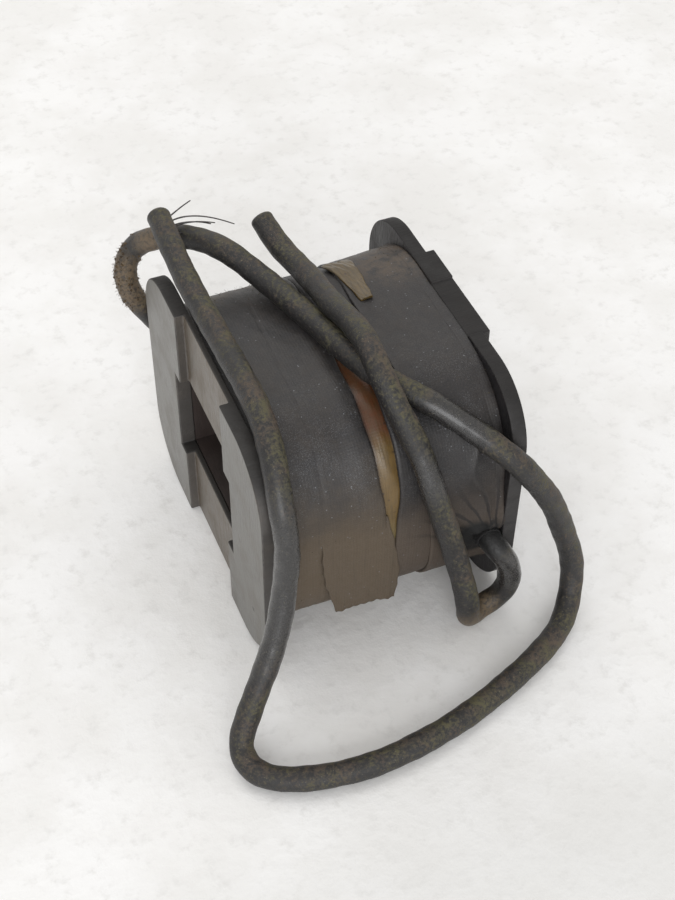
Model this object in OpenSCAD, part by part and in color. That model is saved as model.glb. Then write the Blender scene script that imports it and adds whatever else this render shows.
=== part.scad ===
// Magneto ignition coil of a small engine.
// A primary and a secondary are wound on a rectangular fibre tube between two moulded end plates,
// taped over, and brought out on two rubber-covered leads.
// X runs along the winding axis, Y across the plates, Z is up, and z = 0 is what the plates stand on.

/* [End plates] */
// Length over both end plates, with the raised band of the right one
coil_l = 34.4; // [28:0.1:50]
// Width of the end plates
plate_w = 42.5; // [38:0.5:60]
// Height of the end plates
plate_h = 35; // [32:0.5:48]
// Corner radius of the end plates
plate_r = 8.5; // [3:0.5:12]
// Thickness of the left plate over its raised pads
left_plate_t = 2; // [1.6:0.1:4]
// Thickness of the right plate beside its raised band
right_plate_t = 1.9; // [1.2:0.1:4]
// Width of the left plate's channel and of the right plate's band
channel_w = 16; // [8:0.5:18]
// Depth of the left plate's channel
channel_d = 1.2; // [0.4:0.1:1.4]
// Height of the right plate's raised band
band_h = 1.1; // [0.4:0.1:2]
// Depth of the sawn step in the right plate's top rim
saw_d = 0.3; // [0.1:0.1:0.6]
// Length of the sawn step
saw_l = 10.4; // [2:0.2:14]

/* [Core passage] */
// Width of the window for the core leg
window_w = 20; // [12:0.1:24]
// Height of the window for the core leg
window_h = 12.8; // [8:0.1:16]
// Wall of the fibre tube
tube_wall = 0.8; // [0.5:0.1:1.2]
// Corner radius outside the fibre tube
tube_r = 1.2; // [0.8:0.1:2]

/* [Windings] */
// Thickness of the liner on the tube
liner_t = 0.4; // [0.2:0.1:1]
// Depth of the primary winding
primary_t = 1.6; // [0.6:0.1:2]
// Thickness of the insulation between the windings
layer_t = 0.4; // [0.2:0.1:1]
// Thickness of the fish-paper washer at each end
washer_t = 0.4; // [0.2:0.1:1]
// Width of the paper margin at each end of the secondary
margin_w = 3; // [2.6:0.1:5]

/* [Outer wraps] */
// Width over the tape
wrap_w = 38.5; // [34:0.5:56]
// Height over the tape
wrap_h = 33; // [30:0.5:44]
// Corner radius over the tape
wrap_r = 12; // [8:0.5:14]
// How far the wound body sits towards the front
wrap_forward = 0.75; // [0:0.05:1.2]
// Thickness of the varnished cambric
varnished_t = 0.5; // [0.3:0.1:1]
// Thickness of a turn of black tape
tape_t = 0.5; // [0.3:0.1:0.8]
// Thickness of the lapped turns on the right half
lap_t = 0.35; // [0.2:0.05:0.5]
// Gap between the black tapes, where the cambric shows
tape_gap = 2.2; // [1:0.1:5]
// Middle of that gap along the coil
gap_x = -0.2; // [-3:0.1:3]
// Start of the lapped turns on the right half
lap_x = 4.4; // [3:0.1:7]
// Width of the last turn against the right plate
edge_turn_w = 3.2; // [2:0.1:4]
// Width of the loose tail of tape
tail_w = 10; // [4:0.5:12]
// Length of the varnished tab on top
tab_l = 8; // [3:0.5:10]
// Width of the varnished tab on top
tab_w = 3.8; // [2:0.2:6]
// Thickness of the varnished tab
tab_t = 0.25; // [0.2:0.05:0.4]

/* [Leads] */
// Diameter of the rubber-covered leads
lead_d = 3; // [2.4:0.1:3]
// Diameter of the bare conductor
conductor_d = 1.2; // [0.8:0.1:1.6]
// Diameter of the bound root of a lead
binding_d = 3.7; // [3.4:0.1:3.7]
// Length of the bound root of a lead
binding_l = 0.8; // [0.6:0.1:2]
// Diameter of the sleeve over a soldered splice
sleeve_d = 2.2; // [1.9:0.1:2.4]
// Diameter of the joint between the two windings
joint_d = 1.4; // [1:0.1:1.8]
// Length of the bare strands at the tip of the left lead
strand_l = 9; // [4:1:14]

/* [Hidden] */
$fn = 64;

left_x = -coil_l / 2;
right_x = coil_l / 2;
left_inner_x = left_x + left_plate_t;
right_outer_x = right_x - band_h;
right_inner_x = right_outer_x - right_plate_t;
mid_z = plate_h / 2;
play = 0.05;
through = 1;

// The body of the coil between the washers, and the secondary between its margins
body_x0 = left_inner_x + washer_t;
body_x1 = right_inner_x - washer_t;
coil_x0 = body_x0 + margin_w;
coil_x1 = body_x1 - margin_w;

// Outside sizes of each layer, from the tube outwards
tube_w = window_w + 2 * tube_wall;
tube_h = window_h + 2 * tube_wall;
liner_w = tube_w + 2 * liner_t;
liner_h = tube_h + 2 * liner_t;
primary_w = liner_w + 2 * primary_t;
primary_h = liner_h + 2 * primary_t;
layer_w = primary_w + 2 * layer_t;
layer_h = primary_h + 2 * layer_t;
liner_r = tube_r + liner_t;
primary_r = liner_r + primary_t;
layer_r = primary_r + layer_t;
cambric_w = wrap_w - 2 * tape_t;
cambric_h = wrap_h - 2 * tape_t;
cambric_r = wrap_r - tape_t;
secondary_w = cambric_w - 2 * varnished_t;
secondary_h = cambric_h - 2 * varnished_t;
secondary_r = cambric_r - varnished_t;
lap_w = wrap_w + 2 * lap_t;
lap_h = wrap_h + 2 * lap_t;
lap_r = wrap_r + lap_t;
edge_w = lap_w + 2 * lap_t;
edge_h = lap_h + 2 * lap_t;
edge_r = lap_r + lap_t;

gap_x0 = gap_x - tape_gap / 2;
gap_x1 = gap_x + tape_gap / 2;
edge_x0 = right_inner_x - edge_turn_w;
front_y = -wrap_forward - wrap_w / 2;
back_y = -wrap_forward + wrap_w / 2;
edge_front_y = -wrap_forward - edge_w / 2;

// Where the rubber of each lead begins, in line with the middle of the margin paper
left_root = [body_x0 + margin_w / 2, back_y + binding_l, mid_z - 0.5];
right_root = [body_x1 - margin_w / 2, edge_front_y - binding_l, mid_z - 4.5];

// The left lead: round the back of its plate, over the top, down the right side to the ground,
// round the front and up over the left plate again
left_route = [
  [-13.3, 19.3, 17], [-13.5, 22.5, 18], [-16, 24.5, 21.5], [-18, 25, 25], [-18.5, 26, 28.5],
  [-17, 26, 32], [-14.5, 22.5, 35.5], [-11.5, 19.5, 37], [-8.5, 14.5, 38], [-5.5, 9.5, 36.5],
  [-3, 2.5, 36], [-1, -5, 36], [0.5, -10, 36], [3, -13, 35], [5.5, -15.5, 34], [8.5, -18, 32],
  [13, -23, 29], [15.5, -23.5, 25.5], [19, -23.5, 19.5], [21.5, -23.5, 13], [23, -24.5, 7.5],
  [22.5, -26, 3.5], [20, -29, 1.6], [15.5, -32, 1.6], [4.5, -36.5, 1.6], [-4, -38.5, 1.6],
  [-12.5, -39, 1.6], [-21, -37, 1.6], [-24, -34.5, 1.6], [-24.5, -31.5, 2.5], [-22.5, -29.5, 5.5],
  [-17.5, -26, 14], [-15.5, -24, 21], [-15, -23.5, 27], [-15, -21.5, 32], [-14.5, -18.5, 35],
  [-14, -13.5, 37], [-14, 1.5, 37], [-14.5, 10.5, 38], [-14.5, 21.5, 40],
];
// The right lead: out beside the right plate, one tight turn on the ground, up the front and
// over the top, across the left lead
right_route = [
  [12.3, -21.5, 13], [12.8, -22.7, 12.3], [14, -23, 10.4], [14.9, -23, 7.5], [15, -23, 4.8],
  [13.8, -22.8, 2.5], [12, -22.7, 1.6], [10.2, -23.2, 1.6], [8.8, -24.3, 2.4], [8.4, -25, 4.8],
  [8.2, -24.3, 7.5], [7.8, -23.5, 10], [7, -22.5, 14], [5.5, -22.5, 19.5], [4, -22, 25],
  [3, -20, 30], [1.5, -17, 34.5], [0.5, -13.5, 38], [0.5, -9.5, 39.5], [0.5, -5, 39], [0, 0, 38],
  [0, 5, 37], [-0.5, 10, 36.5], [-1.5, 13.5, 37], [-2.5, 17.5, 39],
];
lead_sides = 8;
strand_d = 0.5;

// A rounded rectangle across the coil's axis, Y by Z, centred on the window
module section(w, h, r) {
  x = w / 2 - r;
  y = h / 2 - r;
  square([w, 2 * y], center = true);
  square([2 * x, h], center = true);
  for (sx = [-1, 1], sy = [-1, 1])
    translate([sx * x, sy * y])
      circle(r);
}

// Lifts a flat section to the axis and runs it from x0 to x1
module along(x0, x1, forward = 0) {
  translate([x0, -forward, mid_z])
    rotate([90, 0, 90])
      linear_extrude(x1 - x0)
        children();
}

// The window for the core leg, run well past both ends
module core_passage() {
  along(left_x - through, right_x + through)
    square([window_w, window_h], center = true);
}

// A hole for a conductor, from y0 to y1 at a lead's root
module wire_hole(root, y0, y1, d) {
  translate([root[0], min(y0, y1), root[2]])
    rotate([-90, 0, 0])
      cylinder(d = d, h = abs(y1 - y0));
}

// Both conductors' holes through the outer layers
module wire_holes(d = conductor_d + 2 * play) {
  wire_hole(left_root, layer_w / 2, left_root[1] + through, d);
  wire_hole(right_root, -layer_w / 2, right_root[1] - through, d);
}

module left_end_plate() {
  color("dimgray")
    difference() {
      along(left_x, left_inner_x)
        section(plate_w, plate_h, plate_r);
      translate([left_x - through, -channel_w / 2, -through])
        cube([channel_d + through, channel_w, plate_h + 2 * through]);
      core_passage();
    }
}

module right_end_plate() {
  color("dimgray")
    difference() {
      union() {
        along(right_inner_x, right_outer_x)
          section(plate_w, plate_h, plate_r);
        along(right_outer_x - right_plate_t / 2, right_x)
          square([channel_w, plate_h], center = true);
      }
      core_passage();
      translate([right_inner_x - through, -channel_w / 2, plate_h - saw_d])
        cube([right_plate_t + band_h + 2 * through, saw_l, saw_d + through]);
    }
}

module core_tube() {
  color("saddlebrown")
    difference() {
      along(left_inner_x, right_inner_x)
        section(tube_w, tube_h, tube_r);
      core_passage();
    }
}

// A closed ring of one layer between x0 and x1
module ring(x0, x1, outer, inner, forward, inner_forward) {
  difference() {
    along(x0, x1, forward)
      section(outer[0], outer[1], outer[2]);
    along(x0 - through, x1 + through, inner_forward)
      section(inner[0], inner[1], inner[2]);
  }
}

tube_size = [tube_w, tube_h, tube_r];
liner_size = [liner_w, liner_h, liner_r];
primary_size = [primary_w, primary_h, primary_r];
layer_size = [layer_w, layer_h, layer_r];
secondary_size = [secondary_w, secondary_h, secondary_r];
cambric_size = [cambric_w, cambric_h, cambric_r];
wrap_size = [wrap_w, wrap_h, wrap_r];
lap_size = [lap_w, lap_h, lap_r];
edge_size = [edge_w, edge_h, edge_r];

module tube_liner() {
  color("burlywood")
    ring(body_x0, body_x1, liner_size, tube_size, 0, 0);
}

module end_washer(x0) {
  color("darkslategray")
    ring(x0, x0 + washer_t, secondary_size, tube_size, wrap_forward, 0);
}

module left_end_washer() {
  end_washer(left_inner_x);
}

module right_end_washer() {
  end_washer(right_inner_x - washer_t);
}

module primary_winding() {
  color("sienna")
    ring(body_x0, body_x1, primary_size, liner_size, 0, 0);
}

module layer_insulation() {
  color("tan")
    ring(body_x0, body_x1, layer_size, primary_size, 0, 0);
}

module secondary_winding() {
  color("peru")
    ring(coil_x0, coil_x1, secondary_size, layer_size, wrap_forward, 0);
}

// The paper beside the secondary, where the conductors and splices pass
module margin_filler(x0, root, side) {
  color("wheat")
    difference() {
      ring(x0, x0 + margin_w, secondary_size, layer_size, wrap_forward, 0);
      wire_hole(root, side * layer_w / 2, root[1], sleeve_d + 2 * play);
      if (side > 0)
        joint_place(joint_pocket_d, joint_pocket_l);
    }
}

module left_margin_filler() {
  margin_filler(body_x0, left_root, 1);
}

module right_margin_filler() {
  margin_filler(coil_x1, right_root, -1);
}

module varnished_wrap() {
  color("goldenrod")
    difference() {
      ring(left_inner_x, right_inner_x, cambric_size, secondary_size, wrap_forward, wrap_forward);
      wire_holes();
    }
}

module left_tape_wrap() {
  color([0.17, 0.16, 0.16])
    difference() {
      ring(left_inner_x, gap_x0, wrap_size, cambric_size, wrap_forward, wrap_forward);
      wire_holes();
    }
}

module right_tape_wrap() {
  color([0.17, 0.16, 0.16])
    difference() {
      ring(gap_x1, right_inner_x, wrap_size, cambric_size, wrap_forward, wrap_forward);
      wire_holes();
    }
}

module right_lap_wrap() {
  color([0.15, 0.14, 0.14])
    difference() {
      ring(lap_x, right_inner_x, lap_size, wrap_size, wrap_forward, wrap_forward);
      wire_holes();
    }
}

module edge_tape_turn() {
  color([0.14, 0.13, 0.13])
    difference() {
      ring(edge_x0, right_inner_x, edge_size, lap_size, wrap_forward, wrap_forward);
      wire_holes();
    }
}

// The tab lies on the lapped turns, from the flat of the top round to the back
tab_x0 = lap_x - 1;
tab_y0 = 3.5;

module varnished_tab() {
  color("darkgoldenrod")
    intersection() {
      ring(tab_x0, tab_x0 + tab_w, [for (s = lap_size) s + 2 * tab_t] - [0, 0, tab_t], lap_size,
        wrap_forward, wrap_forward);
      translate([tab_x0, tab_y0, mid_z])
        cube([tab_w, tab_l, plate_h]);
    }
}

// The tail follows the front of the left tape and then hangs straight to its cut end
tail_x1 = gap_x1;
tail_top_z = mid_z + 5;
tail_end_z = 6;

module loose_tape_tail() {
  color([0.2, 0.19, 0.17])
    translate([tail_x1 - tail_w, front_y - tape_t, tail_end_z])
      cube([tail_w, tape_t, tail_top_z - tail_end_z]);
}

// The joint of the primary's finish and the secondary's start lies along X in the left margin
joint_l = 1.6;
joint_wall = 0.25;
joint_pocket_d = joint_d + 2 * joint_wall + 2 * play;
joint_pocket_l = joint_l + 2 * play;
joint_z = mid_z + layer_h / 2 + joint_pocket_d / 2;

module joint_place(d, l) {
  translate([body_x0 + margin_w / 2 - l / 2, 0, joint_z])
    rotate([0, 90, 0])
      cylinder(d = d, h = l);
}

module winding_joint() {
  color("silver")
    joint_place(joint_d, joint_l);
}

module joint_sleeve() {
  color("khaki")
    difference() {
      joint_place(joint_d + 2 * joint_wall, joint_l);
      joint_place(joint_d, joint_l + through);
    }
}

// A bare conductor from the layer insulation out to the cut face of its rubber
module conductor(root, side) {
  color("chocolate")
    wire_hole(root, side * layer_w / 2, root[1], conductor_d);
}

// The sleeve over the splice, inside the margin paper
module splice_sleeve(root, side) {
  y0 = layer_w / 2 + play;
  y1 = secondary_w / 2 - side * wrap_forward - play;
  color("khaki")
    difference() {
      wire_hole(root, side * y0, side * y1, sleeve_d);
      wire_hole(root, side * (y0 - through), side * (y1 + through), conductor_d);
    }
}

// The bound root of a lead, from the tape's face at y0 to the lead's first face
module lead_binding(root, y0, side) {
  color("saddlebrown")
    difference() {
      wire_hole(root, y0, root[1], binding_d);
      wire_hole(root, y0 - side * through, root[1] + side * through, conductor_d + 2 * play);
    }
}

module left_conductor() {
  conductor(left_root, 1);
}

module left_splice_sleeve() {
  splice_sleeve(left_root, 1);
}

module left_lead_binding() {
  lead_binding(left_root, back_y, 1);
}

module right_conductor() {
  conductor(right_root, -1);
}

module right_splice_sleeve() {
  splice_sleeve(right_root, -1);
}

module right_lead_binding() {
  lead_binding(right_root, edge_front_y, -1);
}

function unit(v) = v / norm(v);

// The direction of a route at its point i, with its first direction given
function heading(route, i, start) =
  i == 0 ? start :
  i == len(route) - 1 ? unit(route[i] - route[i - 1]) :
  unit(unit(route[i] - route[i - 1]) + unit(route[i + 1] - route[i]));

// A side direction at each point, carried along the route without twist
function sides(route, start, i, before) =
  let (t = heading(route, i, start), s = unit(before - (before * t) * t))
  i == len(route) - 1 ? [s] : concat([s], sides(route, start, i + 1, s));

// A tube along a route, with a ring of n points at each of its points
module tube_along(route, start, d, n) {
  side = sides(route, start, 0, [1, 0, 0]);
  points = [
    for (i = [0:len(route) - 1], k = [0:n - 1])
      let (t = heading(route, i, start), a = 360 * k / n)
      route[i] + d / 2 * (cos(a) * side[i] + sin(a) * cross(t, side[i]))
  ];
  last = (len(route) - 1) * n;
  walls = [
    for (i = [0:len(route) - 2], k = [0:n - 1])
      [i * n + k, i * n + (k + 1) % n, (i + 1) * n + (k + 1) % n, (i + 1) * n + k]
  ];
  ends = [[for (k = [0:n - 1]) n - 1 - k], [for (k = [0:n - 1]) last + k]];
  polyhedron(points, [for (f = concat(walls, ends)) [for (k = [len(f) - 1:-1:0]) f[k]]]);
}

module left_lead() {
  color([0.25, 0.23, 0.2])
    tube_along(left_route, [0, 1, 0], lead_d, lead_sides);
}

module right_lead() {
  color([0.25, 0.23, 0.2])
    tube_along(right_route, [0, -1, 0], lead_d, lead_sides);
}

// A bundle of bare strands that springs sideways from the left lead's cut end
module left_lead_strands() {
  tip = left_route[len(left_route) - 1];
  way = unit(tip - left_route[len(left_route) - 2]);
  root = tip + play * way;
  bend = root + strand_d * 2 * way;
  lift = bend + strand_l / 3 * unit([1, 0, 0.3]);
  color("dimgray")
    tube_along([root, bend, lift, bend + strand_l * unit([0.8, -0.6, 0])], way, strand_d, 6);
}

left_end_plate();
right_end_plate();
core_tube();
tube_liner();
left_end_washer();
right_end_washer();
primary_winding();
layer_insulation();
secondary_winding();
left_margin_filler();
right_margin_filler();
varnished_wrap();
left_tape_wrap();
right_tape_wrap();
right_lap_wrap();
edge_tape_turn();
varnished_tab();
loose_tape_tail();
winding_joint();
joint_sleeve();
left_conductor();
left_splice_sleeve();
left_lead_binding();
left_lead();
left_lead_strands();
right_conductor();
right_splice_sleeve();
right_lead_binding();
right_lead();
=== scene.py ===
"""Visual model of a small-engine ignition coil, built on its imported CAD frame.

Lengths inside the classes are in millimetres and become metres when a mesh is made.
X runs along the winding axis, Y across the end plates and Z is up.
"""

import logging
import math
from dataclasses import dataclass, field
from enum import Enum
from typing import Callable, Sequence

import bmesh
import bpy
import numpy as np
from mathutils import Matrix, Vector


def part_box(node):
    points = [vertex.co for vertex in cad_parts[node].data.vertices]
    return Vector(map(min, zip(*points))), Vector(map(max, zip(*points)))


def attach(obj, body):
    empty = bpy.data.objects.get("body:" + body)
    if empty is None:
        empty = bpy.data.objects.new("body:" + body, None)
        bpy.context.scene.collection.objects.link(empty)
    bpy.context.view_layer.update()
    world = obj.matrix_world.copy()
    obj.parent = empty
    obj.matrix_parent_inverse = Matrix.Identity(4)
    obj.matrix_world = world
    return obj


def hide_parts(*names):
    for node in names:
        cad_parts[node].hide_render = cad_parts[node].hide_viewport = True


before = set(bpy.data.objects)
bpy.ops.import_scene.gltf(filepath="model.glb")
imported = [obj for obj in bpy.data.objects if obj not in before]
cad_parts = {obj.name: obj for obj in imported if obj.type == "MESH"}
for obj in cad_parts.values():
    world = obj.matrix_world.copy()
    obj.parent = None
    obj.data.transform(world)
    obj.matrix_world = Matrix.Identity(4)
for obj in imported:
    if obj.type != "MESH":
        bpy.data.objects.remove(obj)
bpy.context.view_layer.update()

logging.basicConfig(level=logging.INFO, format="%(message)s")
log = logging.getLogger("ignition_coil")

MM = 0.001
Colour = tuple[float, float, float]
Field = Callable[[np.ndarray, np.ndarray], np.ndarray]


# ---------------------------------------------------------------- shader tools


class Graph:
    """A node tree with short calls to add nodes and join their sockets."""

    def __init__(self, tree: bpy.types.NodeTree) -> None:
        """Args:
        tree: the shader or geometry node tree to fill.
        """
        self.tree = tree

    def put(self, socket: bpy.types.NodeSocket, value: object) -> None:
        """Links a socket's source, or sets its plain value.

        Args:
            socket: the input to fill.
            value: an output socket, or the constant for the input.
        """
        if isinstance(value, bpy.types.NodeSocket):
            self.tree.links.new(value, socket)
        elif isinstance(value, tuple) and len(value) == 3 and socket.type == "RGBA":
            socket.default_value = (*value, 1.0)
        else:
            socket.default_value = value

    def add(self, kind: str, inputs: dict | None = None, **props: object) -> bpy.types.Node:
        """Adds one node.

        Args:
            kind: the node's type name.
            inputs: values or sources by input name or index.
            props: the node's own settings.

        Returns:
            The new node.
        """
        node = self.tree.nodes.new(kind)
        for name, value in props.items():
            setattr(node, name, value)
        for key, value in (inputs or {}).items():
            self.put(node.inputs[key], value)
        return node

    def math(self, operation: str, a: object, b: object = 0.0) -> bpy.types.NodeSocket:
        """Returns the output of a Math node on a and b."""
        return self.add("ShaderNodeMath", {0: a, 1: b}, operation=operation).outputs[0]

    def ramp(
        self, value: object, low: float, high: float, to_low: float = 0.0, to_high: float = 1.0
    ) -> bpy.types.NodeSocket:
        """Returns value taken smoothly from the range low..high to to_low..to_high."""
        node = self.add(
            "ShaderNodeMapRange",
            {0: value, 1: low, 2: high, 3: to_low, 4: to_high},
            interpolation_type="SMOOTHSTEP",
        )
        return node.outputs[0]

    def noise(
        self, vector: object, scale: float, detail: float = 3.0, rough: float = 0.55
    ) -> bpy.types.NodeSocket:
        """Returns a noise value; scale is in features per metre."""
        node = self.add(
            "ShaderNodeTexNoise",
            {"Vector": vector, "Scale": scale, "Detail": detail, "Roughness": rough},
        )
        return node.outputs[0]

    def stretched(self, vector: object, scale: tuple[float, float, float]) -> bpy.types.NodeSocket:
        """Returns a vector with each axis scaled by its own factor."""
        node = self.add("ShaderNodeMapping", {"Vector": vector, "Scale": scale})
        return node.outputs[0]

    def mix(self, factor: object, a: object, b: object) -> bpy.types.NodeSocket:
        """Returns the colour between a and b at factor."""
        node = self.add("ShaderNodeMix", data_type="RGBA")
        self.put(node.inputs[0], factor)
        self.put(node.inputs[6], a)
        self.put(node.inputs[7], b)
        return node.outputs[2]

    def split(self, vector: object) -> bpy.types.Node:
        """Returns a Separate XYZ node on vector."""
        return self.add("ShaderNodeSeparateXYZ", {0: vector})


def shader_group(
    name: str, inputs: dict[str, object], outputs: Sequence[str]
) -> tuple[Graph, bpy.types.Node, bpy.types.Node]:
    """Starts a shader node group.

    Args:
        name: the group's name.
        inputs: default value of each input; None makes a vector input.
        outputs: names of the value outputs.

    Returns:
        The group's graph, its input node and its output node.
    """
    tree = bpy.data.node_groups.new(name, "ShaderNodeTree")
    for key, value in inputs.items():
        kind = "NodeSocketVector" if value is None else "NodeSocketFloat"
        socket = tree.interface.new_socket(key, in_out="INPUT", socket_type=kind)
        if value is not None:
            socket.default_value = value
    for key in outputs:
        tree.interface.new_socket(key, in_out="OUTPUT", socket_type="NodeSocketFloat")
    graph = Graph(tree)
    return graph, graph.add("NodeGroupInput"), graph.add("NodeGroupOutput")


def make_dust_group() -> bpy.types.NodeTree:
    """Makes the dust group: patchy dirt that gathers on faces that look up.

    Returns:
        The node group, with a mask of the patches and one of single grains.
    """
    g, given, out = shader_group(
        "Dust", {"Vector": None, "Patch": 300.0, "Cover": 0.5, "Upward": 0.5}, ("Mask", "Grains")
    )
    up = g.split(g.add("ShaderNodeNewGeometry").outputs["Normal"]).outputs[2]
    lift = g.math("MULTIPLY", g.math("ADD", up, 0.2), given.outputs["Upward"])
    patches = g.noise(given.outputs["Vector"], given.outputs["Patch"], 5.0, 0.65)
    level = g.math("ADD", patches, g.math("MULTIPLY", lift, 0.35))
    edge = g.math("SUBTRACT", 1.0, given.outputs["Cover"])
    g.put(out.inputs["Mask"], g.ramp(g.math("SUBTRACT", level, edge), -0.12, 0.16))
    grains = g.noise(given.outputs["Vector"], 6500.0, 2.0, 0.8)
    g.put(out.inputs["Grains"], g.ramp(grains, 0.5, 0.72))
    return g.tree


def make_weave_group() -> bpy.types.NodeTree:
    """Makes the weave group: crossed threads over a UV map held in metres.

    Returns:
        The node group, with the threads' height and a mask of the gaps.
    """
    g, given, out = shader_group("Weave", {"Vector": None, "Threads": 3600.0}, ("Height", "Gaps"))
    warp = g.noise(given.outputs["Vector"], 500.0, 2.0)
    at = g.split(given.outputs["Vector"])
    turns = [
        g.math("MULTIPLY", at.outputs[i], g.math("MULTIPLY", given.outputs["Threads"], math.pi))
        for i in (0, 1)
    ]
    turns = [g.math("ADD", t, g.math("MULTIPLY", warp, 2.2)) for t in turns]
    across = g.math("ABSOLUTE", g.math("SINE", turns[0]))
    along = g.math("ABSOLUTE", g.math("SINE", turns[1]))
    g.put(out.inputs["Height"], g.math("ADD", across, g.math("MULTIPLY", along, 0.8)))
    g.put(out.inputs["Gaps"], g.ramp(g.math("MULTIPLY", across, along), 0.0, 0.25, 1.0, 0.0))
    return g.tree


def make_glint_speckle_group() -> bpy.types.NodeTree:
    """Makes the glint-speckle group: scattered dots, drawn as painted glints on the black tape and as spots and
    specks on other finishes.

    Returns:
        The node group, with a mask of the dots.
    """
    g, given, out = shader_group(
        "GlintSpeckle", {"Vector": None, "Density": 4200.0, "Share": 0.2}, ("Mask",)
    )
    cells = g.add(
        "ShaderNodeTexVoronoi",
        {"Vector": given.outputs["Vector"], "Scale": given.outputs["Density"]},
    )
    chance = g.split(cells.outputs["Color"]).outputs[0]
    share = g.math("SUBTRACT", 1.0, given.outputs["Share"])
    chosen = g.math("GREATER_THAN", chance, share)
    dot = g.ramp(cells.outputs["Distance"], 0.1, 0.42, 1.0, 0.0)
    g.put(out.inputs["Mask"], g.math("MULTIPLY", chosen, dot))
    return g.tree


def make_edge_wear_group() -> bpy.types.NodeTree:
    """Makes the edge-wear group: distance to the rim, window and channel edges of an end plate.

    Returns:
        The node group, with a mask of the worn edges.
    """
    g, given, out = shader_group(
        "PlateEdgeWear",
        {"Vector": None, "Half width": 0.02125, "Half height": 0.0175, "Corner": 0.0085,
         "Window half width": 0.01, "Window half height": 0.0064, "Channel half width": 0.008,
         "Reach": 0.00022},
        ("Mask",),
    )
    at = g.split(given.outputs["Vector"])
    y = g.math("ABSOLUTE", at.outputs[1])
    z = g.math("ABSOLUTE", g.math("SUBTRACT", at.outputs[2], given.outputs["Half height"]))
    corner = given.outputs["Corner"]
    qy = g.math("ADD", g.math("SUBTRACT", y, given.outputs["Half width"]), corner)
    qz = g.math("ADD", g.math("SUBTRACT", z, given.outputs["Half height"]), corner)
    py, pz = g.math("MAXIMUM", qy, 0.0), g.math("MAXIMUM", qz, 0.0)
    round_part = g.math("SQRT", g.math("ADD", g.math("MULTIPLY", py, py), g.math("MULTIPLY", pz, pz)))
    flat_part = g.math("MINIMUM", g.math("MAXIMUM", qy, qz), 0.0)
    rim = g.math("ABSOLUTE", g.math("SUBTRACT", g.math("ADD", round_part, flat_part), corner))
    wy = g.math("SUBTRACT", y, given.outputs["Window half width"])
    wz = g.math("SUBTRACT", z, given.outputs["Window half height"])
    window = g.math("ABSOLUTE", g.math("MAXIMUM", wy, wz))
    channel = g.math("ABSOLUTE", g.math("SUBTRACT", y, given.outputs["Channel half width"]))
    nearest = g.math("MINIMUM", g.math("MINIMUM", rim, window), channel)
    ragged = g.noise(given.outputs["Vector"], 900.0, 6.0, 0.7)
    reach = g.math("MULTIPLY", given.outputs["Reach"], g.ramp(ragged, 0.35, 0.75, 0.1, 2.0))
    g.put(out.inputs["Mask"], g.ramp(g.math("DIVIDE", nearest, reach), 0.2, 1.0, 1.0, 0.0))
    return g.tree


def make_scratch_group() -> bpy.types.NodeTree:
    """Makes the scratch group: fine lines drawn along the vector's first axis.

    Returns:
        The node group, with a mask of the lines.
    """
    g, given, out = shader_group("Scratches", {"Vector": None, "Amount": 0.5}, ("Mask",))
    fine = g.noise(g.stretched(given.outputs["Vector"], (120.0, 5200.0, 5200.0)), 1.0, 2.0, 0.6)
    broken = g.noise(given.outputs["Vector"], 260.0, 2.0)
    line = g.ramp(fine, 0.56, 0.68)
    part = g.ramp(g.math("ADD", broken, given.outputs["Amount"]), 0.9, 1.1)
    g.put(out.inputs["Mask"], g.math("MULTIPLY", line, part))
    return g.tree


class SharedEffects:
    """The node groups that several finishes use, each made once."""

    def __init__(self) -> None:
        """Makes every group."""
        self.dust = make_dust_group()
        self.weave = make_weave_group()
        self.glint_speckle = make_glint_speckle_group()
        self.edge_wear = make_edge_wear_group()
        self.scratches = make_scratch_group()


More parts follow.
